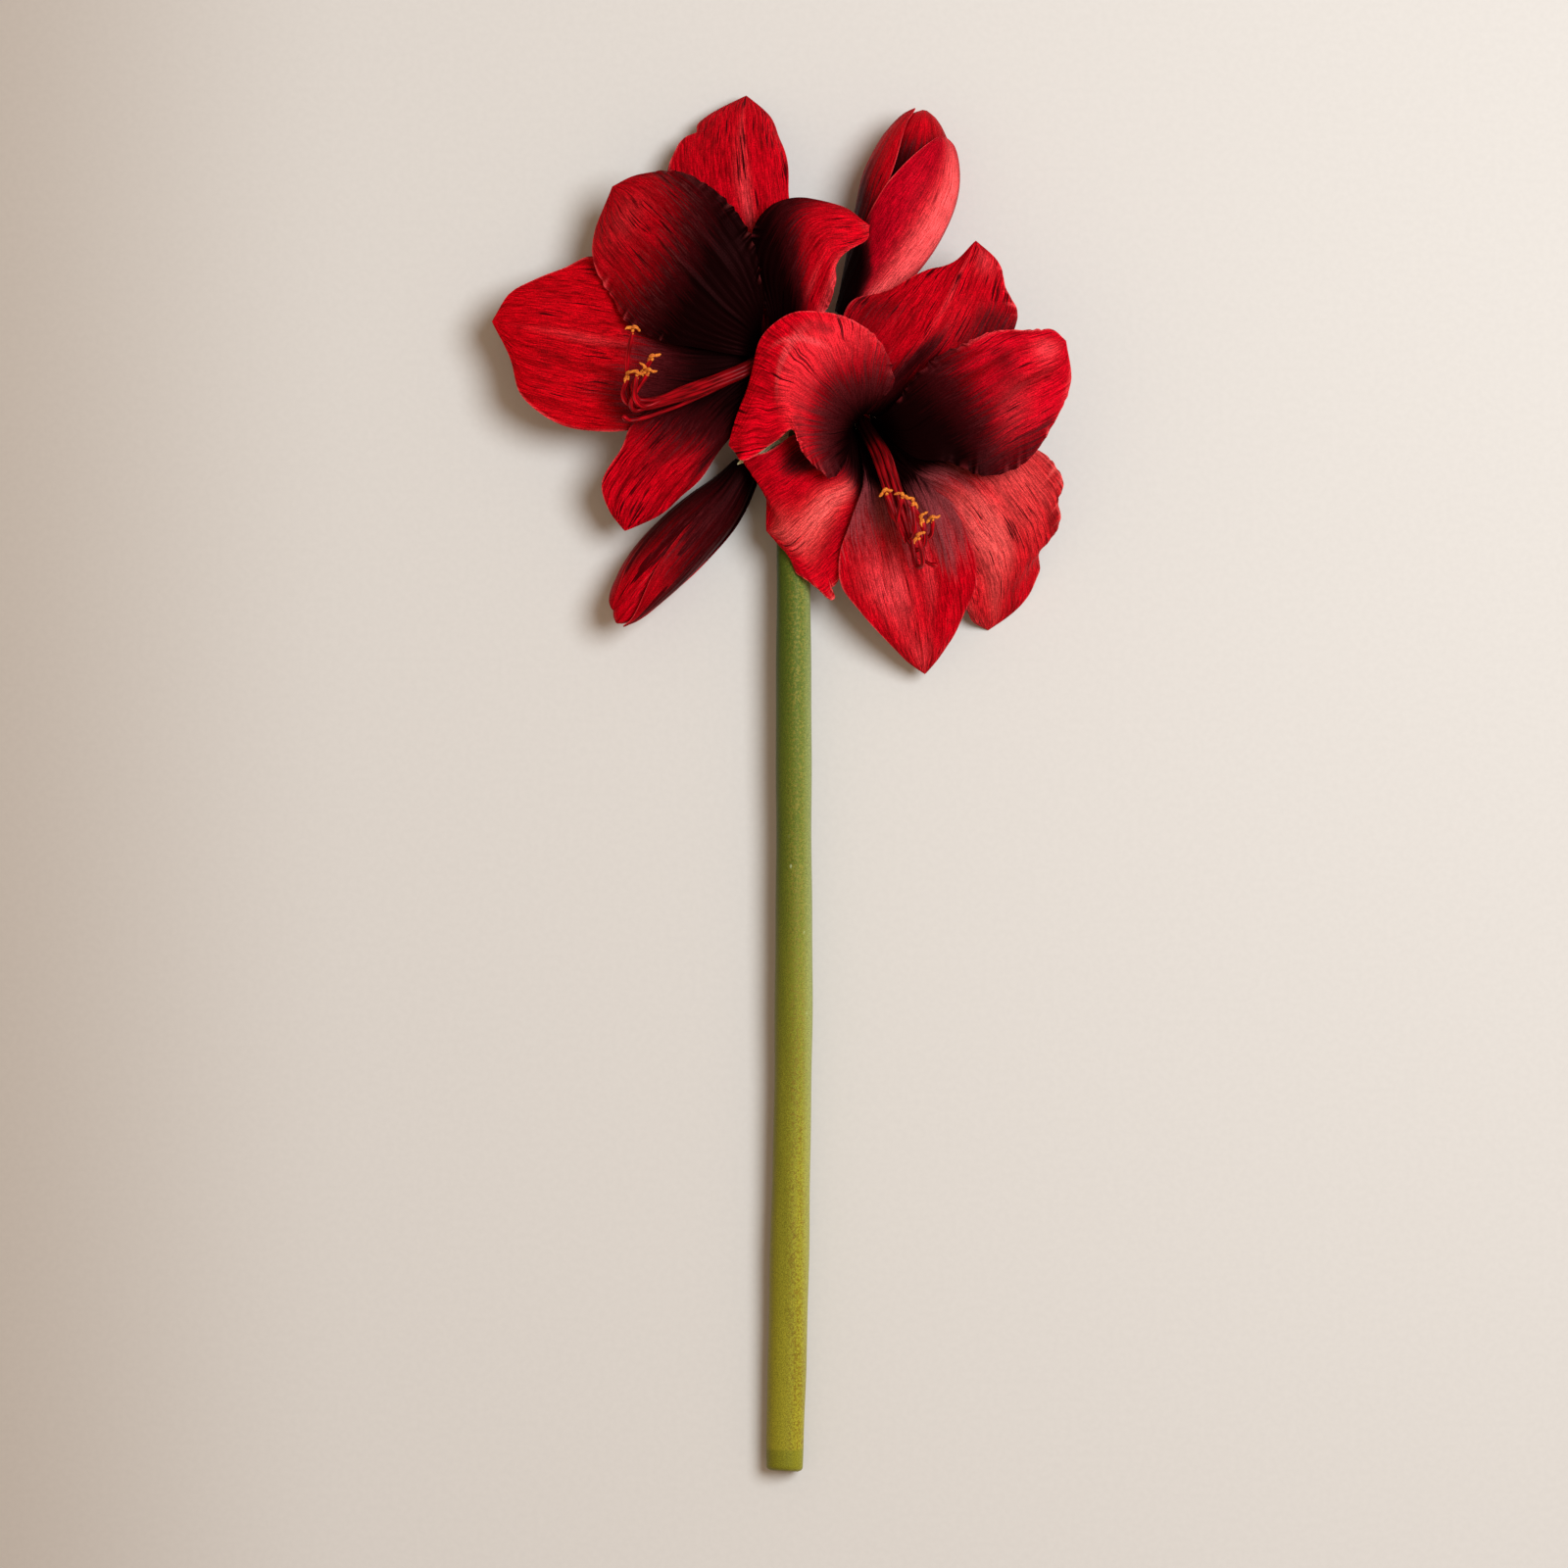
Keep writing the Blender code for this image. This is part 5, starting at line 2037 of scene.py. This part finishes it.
RIGHT_LOWER_RIGHT_SEPAL = Tepal(
    "lower_right_sepal", angle=330, inner=False,
    sheet=Sheet(
        sections=(
            ((69, 161, 44), (60, 150, 41), (50, 142, 37)),
            ((97, 163, 47), (79, 137, 43), (60, 118, 35)),
            ((124, 164, 42), (93, 117, 35), (72, 102, 29)),
            ((137.5, 147, 33), (99, 106, 27), (78, 95, 24)),
            ((133.5, 127, 22), (102, 96, 20), (84, 89, 19)),
            ((123.5, 108, 11), (103, 86, 11), (90, 83, 12)),
            ((116, 88, 2), (103, 79.5, 4), (94, 79, 6)),
        ),
        tip=(100, 75.5, 0.5), frill=(1.5, 4.5, 90),
        folds=(
            Fold(0.1, 0.1, 0.2, 0.9, -1.6, 0.1), Fold(-0.35, -0.4, 0.15, 0.7, 1.6, 0.1),
            Fold(-0.1, -0.15, 0.15, 0.6, -1.2, 0.06), Fold(0.5, 0.45, 0.2, 0.8, 1.2, 0.12),
        ),
        crimps=(Crimp(NEAR, 0.35, 0.92, 0.9, 7.0),),
        lobes=(
            Lobe(NEAR, 0.75, 0.02, -3.4), Lobe(NEAR, 0.85, 0.021, -5.2),
            Lobe(NEAR, 0.905, 0.02, 4.2), Lobe(NEAR, 0.935, 0.02, 2.2),
        ),
        rows=190,
    ),
    finish=PetalFinish(
        coral=(0.76, 0.090, 0.080), streaks=0.65, seed=3.0, rosy=0.47, rose=(0.22, 0.032, 0.034)
    ),
    # Its dark reaches far up its near edge, partly as painted shadow cast by the upper right petal; its low
    # rosy cut and light rose paint sheen near the throat.
    reach=(0.55, 0.36, 0.30), soft=0.12,
    patches=(
        Patch(DARK, 0.0, 0.15, 1.3, 0.14, 1.6), Patch(CORAL, -0.22, 0.6, 0.22, 0.2, 0.8, 1.6),
        Patch(DARK, 0.12, 0.54, 0.05, 0.13, 1.1), Patch(DARK, 0.3, 0.5, 0.05, 0.12, 1.1),
        Patch(CORAL, 0.0, 0.8, 0.2, 0.16, 0.4), Patch(CORAL, 0.7, 0.75, 0.3, 0.25, 0.3),
        Patch(CORAL, -0.72, 0.6, 0.3, 0.16, 0.5), Patch(DARK, -0.05, 0.45, 0.05, 0.09, 1.3),
        Patch(DARK, -0.75, 0.92, 0.25, 0.1, 0.5),
    ),
)

RIGHT_LOWER_PETAL = Tepal(
    "lower_petal", angle=270, inner=True,
    sheet=Sheet(
        sections=(
            ((39, 148, 45), (49, 147, 42), (64, 152, 46)),
            ((33, 130, 42), (54, 131, 40), (82, 136, 48)),
            ((27.5, 114, 35), (58, 115, 37), (92, 117, 42)),
            ((28, 97, 30), (62, 98, 34), (94.5, 99, 33)),
            ((38, 84, 27), (65, 84, 30), (88.5, 85, 25)),
            ((49, 72, 24), (67, 71, 25), (83, 71.5, 20)),
            ((60, 60, 17), (68.5, 60, 18), (76, 62, 14)),
        ),
        tip=(69, 54, 12), frill=(0.9, 3, 0),
        folds=(
            Fold(0.02, 0.02, 0.2, 0.97, 1.3, 0.07), Fold(-0.4, -0.35, 0.3, 0.9, -1.4, 0.12),
            Fold(0.4, 0.35, 0.2, 0.9, -1.6, 0.12), Fold(0.68, 0.6, 0.3, 0.85, 1.2, 0.1),
        ),
    ),
    # Its low rosy cut and light rose paint sheen near the throat; its coral patches are partly painted
    # highlights on its sides.
    finish=PetalFinish(streaks=0.5, seed=4.0, rosy=0.40, rose=(0.23, 0.034, 0.038)),
    reach=(0.45, 0.44, 0.48), soft=0.16,
    patches=(
        Patch(DARK, 0.25, 0.16, 1.1, 0.16, 1.9), Patch(CORAL, -0.35, 0.66, 0.3, 0.13, 0.7),
        Patch(CORAL, -0.15, 0.64, 0.1, 0.14, 0.3), Patch(CORAL, 0.3, 0.62, 0.1, 0.12, 0.3),
        Patch(CORAL, -0.1, 0.92, 0.4, 0.09, 0.4), Patch(DARK, 0.08, 0.6, 0.06, 0.14, 0.7),
        Patch(DARK, 0.6, 0.55, 0.15, 0.12, 0.9),
    ),
)

RIGHT_LOWER_LEFT_SEPAL = Tepal(
    "lower_left_sepal", angle=210, inner=False,
    sheet=Sheet(
        sections=(
            ((20, 171, 38), (30, 152, 40), (42, 143, 36)),
            ((4, 170.5, 40), (17, 145, 42), (34, 122, 34)),
            ((-8, 162.5, 39), (8, 137, 40), (28, 104, 27)),
            ((-20.6, 157, 36), (0, 130, 36), (23.5, 90, 25)),
            ((-9, 144, 31), (-3, 127, 33), (13, 99, 29)),
        ),
        tip=(-8.5, 124, 27), frill=(1.4, 4.5, 30),
        folds=(Fold(0.0, 0.0, 0.2, 0.95, 1.0, 0.1), Fold(-0.4, -0.35, 0.25, 0.8, -0.8, 0.14)),
        crimps=(Crimp(FAR, 0.4, 0.95, 0.8, 6.0),),
        lobes=(
            Lobe(FAR, 0.775, 0.02, -2.5), Lobe(FAR, 0.925, 0.012, 2.2),
            Lobe(FAR, 0.952, 0.01, -1.3),
        ),
        rows=190,
    ),
    finish=PetalFinish(deep=(0.32, 0.0005, 0.005), streaks=0.6, seed=5.0, coral=(0.82, 0.10, 0.088)),
    reach=(0.50, 0.36, 0.50), soft=0.12,
    patches=(
        # The second dark patch is a painted shadow cast by the upper left petal; the coral patch is partly a
        # painted highlight.
        Patch(DARK, 0.3, 0.2, 1.0, 0.17, 1.9), Patch(DARK, -0.55, 0.64, 0.33, 0.17, 2.6),
        Patch(CORAL, 0.3, 0.62, 0.2, 0.26, 1.0), Patch(CORAL, 0.1, 0.88, 0.24, 0.09, 0.35),
    ),
)

RIGHT_UPPER_LEFT_PETAL = Tepal(
    "upper_left_petal", angle=150, inner=True,
    sheet=Sheet(
        sections=(
            ((30, 158, 46), (31, 175, 47), (43, 185, 53)),
            ((22, 150, 52), (21, 188, 57), (54, 197, 62)),
            ((9.5, 162, 57), (12, 199, 66), (46, 218, 68)),
            ((4, 174, 58), (1, 205, 70), (28, 229, 68)),
            ((-2, 170, 53), (-5, 202, 66), (6, 231.5, 65)),
            ((-12, 162, 47), (-13, 194, 58), (-7, 223, 59)),
            ((-21, 159, 42), (-20, 180, 48), (-17, 199, 51)),
        ),
        tip=(-27, 166, 38), frill=(1.4, 4.5, 60),
        folds=(Fold(0.1, 0.1, 0.2, 0.5, -0.8, 0.1),),
        crimps=(Crimp(FAR, 0.22, 0.62, 1.1, 6.0, 14.0), Crimp(NEAR, 0.2, 0.58, 1.8, 5.5, 10.0)),
    ),
    finish=PetalFinish(
        streaks=0.75, streak_width=0.6, streak_length=30.0, seed=6.0,
        bright=(0.74, 0.0010, 0.011), deep=(0.36, 0.0006, 0.005), rosy=0.50,
    ),
    reach=(0.41, 0.40, 0.42), soft=0.12,
    patches=(
        # The first coral patch is a painted highlight along the ridge of the fold.
        Patch(CORAL, 0.0, 0.5, 1.3, 0.10, 0.3, 3.0), Patch(CORAL, 0.15, 0.585, 0.6, 0.016, 0.6, 2.0),
        Patch(DARK, 0.74, 0.58, 0.15, 0.06, 1.1, 2.0), Patch(CORAL, 0.5, 0.58, 0.06, 0.08, 0.7, 1.5),
        Patch(DARK, -0.6, 0.47, 0.3, 0.04, 0.5), Patch(DARK, 0.0, 0.74, 1.0, 0.02, 0.9),
        Patch(DARK, -0.3, 0.84, 0.5, 0.03, 0.9),
    ),
    fanned=True,
)

RIGHT_BLOOM = Bloom(
    name="right_bloom",
    outer_half_angle=42.0,
    throat=Throat((40, 174, 34), (0.17, -0.47, 0.87)),
    stalk=((9.5, 173.6, 23.5), (9.5, 177, 23.5), (17, 187, 18.5), (27, 192, 10.5)),
    tepals=(
        RIGHT_TOP_SEPAL,
        RIGHT_UPPER_RIGHT_PETAL,
        RIGHT_LOWER_RIGHT_SEPAL,
        RIGHT_LOWER_PETAL,
        RIGHT_LOWER_LEFT_SEPAL,
        RIGHT_UPPER_LEFT_PETAL,
    ),
    stamens=Stamens(
        bundle=((48, 160, 46), (53, 145, 52), (57.5, 130, 55)),
        ends=(
            ((65, 107, 56), (68, 108, 62), (66, 121, 66)),
            ((59, 119, 53), (57, 124, 60), (50, 143, 62)),
            ((62, 121, 57.5), (64, 124, 63), (63, 138, 65)),
            ((64, 115, 54), (69, 118, 60), (68, 130, 63)),
            ((67, 120, 51.5), (72, 122, 55), (73, 130, 59)),
            ((57, 124, 58), (56, 131, 64), (58, 141, 68)),
        ),
        leans=(40.0, 0.0, -50.0, 70.0, 30.0, -20.0),
        spread=3.6,
        style_angle=292,
        style=(
            (48.5, 157, 41.5), (53.5, 143, 47), (59, 127, 48.5), (64.5, 113, 48), (71, 108, 49),
            (75, 107, 52),
        ),
    ),
)

LEFT_TOP_SEPAL = Tepal(
    "top_sepal", angle=90, inner=False,
    sheet=Sheet(
        sections=(
            ((-15, 231, 38), (-8, 236, 39), (-2, 235, 38)),
            ((-34, 260, 36), (-13, 266, 41), (3, 262, 38)),
            ((-57, 285, 27), (-17, 292, 36), (3.5, 285, 33)),
            ((-57, 302, 20), (-19, 309, 31), (1, 301, 28)),
            ((-48, 315.5, 15), (-20, 320, 24), (-1, 314, 22)),
            ((-37, 328, 11), (-19.5, 331, 16), (-6, 326, 14)),
        ),
        tip=(-18.5, 337, 9), frill=(1.3, 4, 200),
        folds=(Fold(0.0, 0.0, 0.3, 0.97, 0.8, 0.05), Fold(0.35, 0.25, 0.3, 0.7, 0.7, 0.08)),
        lobes=(Lobe(NEAR, 0.868, 0.018, -3.6), Lobe(NEAR, 0.82, 0.02, 0.8)),
    ),
    finish=PetalFinish(streaks=0.95, seed=7.0),
    reach=(0.22, 0.22, 0.22), soft=0.12,
    patches=(
        Patch(CORAL, -0.08, 0.55, 0.1, 0.2, 0.55), Patch(CORAL, -0.03, 0.8, 0.04, 0.15, 0.4),
        Patch(DARK, 0.5, 0.75, 0.25, 0.15, 1.5),
    ),
)

LEFT_UPPER_RIGHT_PETAL = Tepal(
    "upper_right_petal", angle=30, inner=True,
    sheet=Sheet(
        sections=(
            ((-9, 233, 45.5), (0, 228, 44.5), (8, 221, 44)),
            ((-18, 256, 50), (2, 247, 55), (20, 231, 52)),
            ((-15, 272, 52), (9, 264, 60), (25, 244, 59)),
            ((-5, 284, 55), (17, 273, 61), (26, 254, 60)),
            ((11, 287.5, 57), (28, 275, 60), (31.5, 262, 59)),
            ((28, 281.5, 55), (35.5, 275, 57), (38.5, 267.5, 55)),
        ),
        tip=(42, 273.5, 52), frill=(1.2, 4, 30),
        folds=(Fold(0.0, 0.0, 0.25, 0.9, 0.6, 0.07),),
        lobes=(Lobe(NEAR, 0.94, 0.04, 1.6), Lobe(FAR, 0.94, 0.05, 2.2)),
        crimps=(Crimp(NEAR, 0.25, 0.7, 1.0, 4.5), Crimp(FAR, 0.2, 0.7, 0.5, 5.0)),
    ),
    finish=PetalFinish(streaks=0.6, seed=8.0),
    reach=(0.90, 0.64, 0.30), soft=0.11,
    patches=(
        Patch(CORAL, 0.92, 0.6, 0.1, 0.2, 0.6), Patch(CORAL, 0.5, 0.5, 0.06, 0.12, 0.3),
        Patch(CORAL, 0.3, 0.97, 0.5, 0.03, 0.3),
    ),
)

LEFT_LOWER_RIGHT_SEPAL = Tepal(
    "lower_right_sepal", angle=330, inner=False,
    sheet=Sheet(
        sections=(
            ((8, 213, 42), (-1, 203, 42), (-9, 197, 39)),
            ((16, 205, 46), (5, 194, 48), (-6, 185, 45)),
            ((22, 196, 45), (13, 183, 47), (3, 175, 44)),
            ((24, 186, 42), (18, 175, 44), (11, 169, 42)),
        ),
        tip=(23, 168, 40), frill=(0.8, 3, 0),
    ),
    finish=PetalFinish(streaks=0.5, seed=9.0),
)

LEFT_LOWER_PETAL = Tepal(
    "lower_petal", angle=270, inner=True,
    sheet=Sheet(
        sections=(
            ((-22, 204, 41), (-17, 197, 38), (-11, 189, 35)),
            ((-48, 190, 41), (-33, 182, 38), (-20, 180, 36)),
            ((-72, 179, 38), (-46, 166, 36), (-28, 168, 34)),
            ((-80, 164, 34), (-59, 153, 35), (-38, 153.5, 32)),
            ((-89, 148, 30), (-68, 142, 31), (-49, 142, 29)),
            ((-85.5, 133.5, 28), (-74, 132, 29), (-60, 132, 27)),
        ),
        tip=(-78, 124, 26), frill=(1.1, 4, 20),
        folds=(Fold(0.0, 0.0, 0.25, 0.95, -0.8, 0.08), Fold(-0.45, -0.4, 0.4, 0.9, 0.6, 0.12)),
    ),
    finish=PetalFinish(streaks=0.95, seed=10.0, deep=(0.15, 0.0002, 0.002)),
    reach=(0.61, 0.58, 0.66), soft=0.12,
    patches=(
        Patch(DARK, -0.35, 0.75, 0.25, 0.14, 1.2), Patch(DARK, 0.75, 0.7, 0.2, 0.15, 1.0),
    ),
)

LEFT_LOWER_LEFT_SEPAL = Tepal(
    "lower_left_sepal", angle=210, inner=False,
    sheet=Sheet(
        sections=(
            ((-25, 218, 37), (-23, 209, 35), (-20, 198, 34)),
            ((-53, 232, 33), (-48, 210, 36), (-45, 185, 34)),
            ((-75, 252, 29), (-74, 215, 36), (-74, 174, 32)),
            ((-95, 258.5, 25), (-96, 218, 36), (-97, 173, 31)),
            ((-109, 252.5, 26.5), (-111, 221, 36), (-114, 178.5, 32)),
            ((-123, 246, 29.5), (-123, 223, 36), (-129, 191, 34)),
            ((-135, 239.5, 31), (-134.5, 225, 34), (-135, 210, 33)),
        ),
        tip=(-143, 226.5, 32), frill=(1.3, 3.5, 120),
        folds=(Fold(0.0, 0.0, 0.25, 0.95, 0.6, 0.06), Fold(-0.5, -0.55, 0.35, 0.8, -0.8, 0.1)),
    ),
    finish=PetalFinish(
        streaks=0.6, seed=11.0, rosy=0.52, bright=(0.46, 0.0005, 0.0045), deep=(0.24, 0.0002, 0.002)
    ),
    reach=(0.50, 0.51, 0.50), soft=0.10,
    patches=(
        Patch(CORAL, 0.0, 0.7, 0.05, 0.15, 0.3), Patch(DARK, 0.6, 0.56, 0.4, 0.15, 0.85),
        Patch(DARK, 0.5, 0.74, 0.2, 0.12, 1.0), Patch(DARK, -0.6, 0.86, 0.2, 0.1, 1.0),
    ),
)

LEFT_UPPER_LEFT_PETAL = Tepal(
    "upper_left_petal", angle=150, inner=True,
    sheet=Sheet(
        sections=(
            ((-20, 210, 42), (-17, 223, 46), (-10, 238, 54)),
            ((-46, 214.5, 44), (-31, 235, 53), (-14, 262, 58)),
            ((-68, 220, 42), (-48, 253, 57), (-21, 277, 60)),
            ((-82, 234, 38), (-61, 268, 55), (-35, 292, 58)),
            ((-91, 251, 33), (-71, 279, 48), (-54, 300, 50)),
            ((-92.5, 271, 29), (-78, 287, 41), (-71, 299, 42)),
        ),
        tip=(-84, 292.5, 34), frill=(1.5, 4.5, 0),
        folds=(Fold(0.0, 0.0, 0.2, 0.8, 0.9, 0.03), Fold(0.45, 0.4, 0.35, 0.9, 0.8, 0.08)),
        crimps=(Crimp(FAR, 0.25, 0.9, 1.6, 6.0, 10.0), Crimp(NEAR, 0.45, 0.85, 1.2, 7.0, 10.0)),
    ),
    finish=PetalFinish(streaks=0.85, seed=12.0, rose=(0.12, 0.016, 0.016)),
    # Its dark reaches far, partly its own maroon and partly painted shadow from the neighbouring petals.
    reach=(0.72, 0.70, 0.90), soft=0.15,
    patches=(
        Patch(CORAL, -0.2, 0.86, 0.5, 0.06, 0.18), Patch(DARK, 0.1, 0.35, 1.0, 0.15, 1.2),
    ),
)

LEFT_BLOOM = Bloom(
    name="left_bloom",
    throat=Throat((-7, 212, 32), (-0.47, -0.16, 0.87)),
    stalk=((2.5, 173.6, 24), (2.5, 178, 24), (7, 194, 16.5), (12, 208, 10)),
    tepals=(
        LEFT_TOP_SEPAL,
        LEFT_UPPER_RIGHT_PETAL,
        LEFT_LOWER_RIGHT_SEPAL,
        LEFT_LOWER_PETAL,
        LEFT_LOWER_LEFT_SEPAL,
        LEFT_UPPER_LEFT_PETAL,
    ),
    stamens=Stamens(
        bundle=((-17, 204, 46), (-32, 197.5, 50), (-50, 191, 50)),
        ends=(
            ((-73, 185, 48), (-77, 203, 56), (-74, 223, 64)),
            ((-71, 186, 48), (-74, 194, 54), (-64, 209, 60)),
            ((-70, 188, 50), (-74, 195, 56), (-69, 203, 59)),
            ((-75, 186, 49), (-79, 191, 54), (-76, 200, 57)),
            ((-72, 183, 49), (-75, 187, 55), (-66, 202, 62)),
            ((-68, 185, 51), (-73, 189, 58), (-72, 201, 62)),
        ),
        style_angle=219,
        style=(
            (-18, 202, 41.5), (-32, 194, 45), (-50, 186, 45.5), (-65, 180.5, 45.5), (-75, 178, 46.5),
            (-79, 180, 50),
        ),
    ),
)

UPPER_BUD = Bud(
    name="upper_bud",
    stalk=((9.5, 173.6, 16), (9.5, 177, 16), (13, 190, 10), (20, 205, 11), (26, 217, 16)),
    axis=((31, 226, 20), (42, 246, 22), (54.3, 272, 23.6), (62.7, 298, 24), (69, 330, 24)),
    radii=((0.0, 5), (0.12, 9.5), (0.3, 15), (0.5, 19.8), (0.68, 21), (0.84, 16.4), (0.94, 9.8), (1.0, 3)),
    twist=-45,
    hand=1,
    sepals=(
        BudSepal(
            "front", 88, 0.9,
            PetalFinish(
                streaks=0.1, seed=13.0, bright=(0.40, 0.0005, 0.008), deep=(0.28, 0.0004, 0.006),
                coral=(0.95, 0.085, 0.085),
            ),
            (0.0, 0.05, 0.42), 0.12,
            (
                # The first coral patch is partly a painted highlight down its right side; the dark patch at
                # its lower left base is painted shade where the left sepal behind it shows in shadow.
                Patch(CORAL, -0.42, 0.55, 0.4, 0.42, 1.4, 1.2), Patch(DARK, 0.95, 0.5, 0.4, 0.4, 1.0),
                Patch(DARK, 0.0, 0.27, 0.4, 0.05, 0.9), Patch(DARK, 0.68, 0.1, 0.52, 0.28, 1.9, 3.0),
                Patch(CORAL, -0.3, 0.14, 0.35, 0.12, 0.8, 2.0),
            ),
            (1.0, 1.0),
        ),
        BudSepal(
            "left", 208, 1.0, PetalFinish(streaks=0.4, seed=14.0, deep=(0.25, 0.0003, 0.003)),
            # Its darker base is partly painted shade.
            (0.5, 0.45, 0.4), 0.25,
            (Patch(DARK, -0.4, 0.7, 0.5, 0.4, 0.9),),
        ),
        BudSepal(
            "under", 328, 0.98, PetalFinish(streaks=0.3, seed=15.0), (0.2, 0.2, 0.2), 0.2,
            (Patch(CORAL, 0.6, 0.6, 0.5, 0.3, 0.4),),
            (-1.0, -1.0),
        ),
    ),
    furled=PetalFinish(streaks=0.2, seed=16.0),
)

LOWER_BUD = Bud(
    name="lower_bud",
    stalk=((2, 173.6, 16), (2, 176.5, 16), (-5, 182.5, 16), (-12.5, 178, 17), (-15, 167, 18)),
    axis=((-17, 157, 18), (-29, 140, 16), (-48.5, 120, 15.3), (-66.5, 100.5, 19.5), (-82, 79, 27)),
    radii=((0.0, 4), (0.12, 7), (0.3, 11.2), (0.5, 12.8), (0.68, 12.3), (0.84, 9.4), (0.94, 6), (1.0, 2)),
    twist=25,
    hand=-1,
    sepals=(
        BudSepal(
            "front", 130, 1.0,
            PetalFinish(
                streaks=1.7, streak_width=1.05, streak_length=28.0, seed=17.0, bright=(0.50, 0.0006, 0.006)
            ),
            (0.42, 0.42, 0.42), 0.2,
            (Patch(DARK, 0.0, 0.7, 1.2, 0.3, 1.5),),
        ),
        BudSepal(
            "upper", 10, 0.97,
            PetalFinish(
                streaks=1.7, streak_width=1.05, streak_length=28.0, seed=18.0, bright=(0.50, 0.0006, 0.006)
            ),
            (0.42, 0.42, 0.42), 0.2,
            (Patch(DARK, 0.0, 0.7, 1.0, 0.3, 1.5),),
        ),
        BudSepal("under", 250, 0.96, PetalFinish(streaks=0.8, seed=19.0), (0.5, 0.5, 0.5), 0.2),
    ),
    furled=PetalFinish(streaks=0.2, seed=20.0),
    tip_light=60.0,
)

SPATHE = Spathe(
    left=Sheet(
        (
            ((6, 178, 29.6), (3, 173.5, 29.4), (2, 169, 29.0)),
            ((-3, 176.5, 32), (-4, 170.5, 31), (-5, 165.5, 27.5)),
            ((-12, 170, 33.5), (-13, 164.5, 33), (-12, 160, 30.5)),
        ),
        (-23, 156.5, 31), rows=48, columns=25, ribs=7, rib_height=0.1,
    ),
    right=Sheet(
        (
            ((15, 172, 24), (15.6, 168, 20), (15, 164, 16)),
            ((22, 175, 22), (23, 165, 18), (19, 158, 12)),
            ((31, 164, 20), (29, 154, 15), (23, 147, 9)),
        ),
        (36, 141, 9), rows=48, columns=25, ribs=7, rib_height=0.1,
    ),
)


def main() -> None:
    """Loads the solids, builds every piece over them and sets up the studio."""
    logging.basicConfig(level=logging.INFO, format="%(message)s")
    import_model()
    groups = Groups()
    finishes = {
        "stalk": StalkFinish().material("stalk", groups),
        "filament": FilamentFinish().material("filament", groups),
        "anther": AntherFinish().material("anther", groups),
    }
    Studio().build(groups)
    Scape().build(ScapeFinish().material("scape", groups))
    SPATHE.build(BractFinish().material("spathe", groups))
    for flower in (LEFT_BLOOM, RIGHT_BLOOM, UPPER_BUD, LOWER_BUD):
        flower.build(groups, finishes)
        log.info("%s is built", flower.name)


if __name__ == "__main__":
    main()
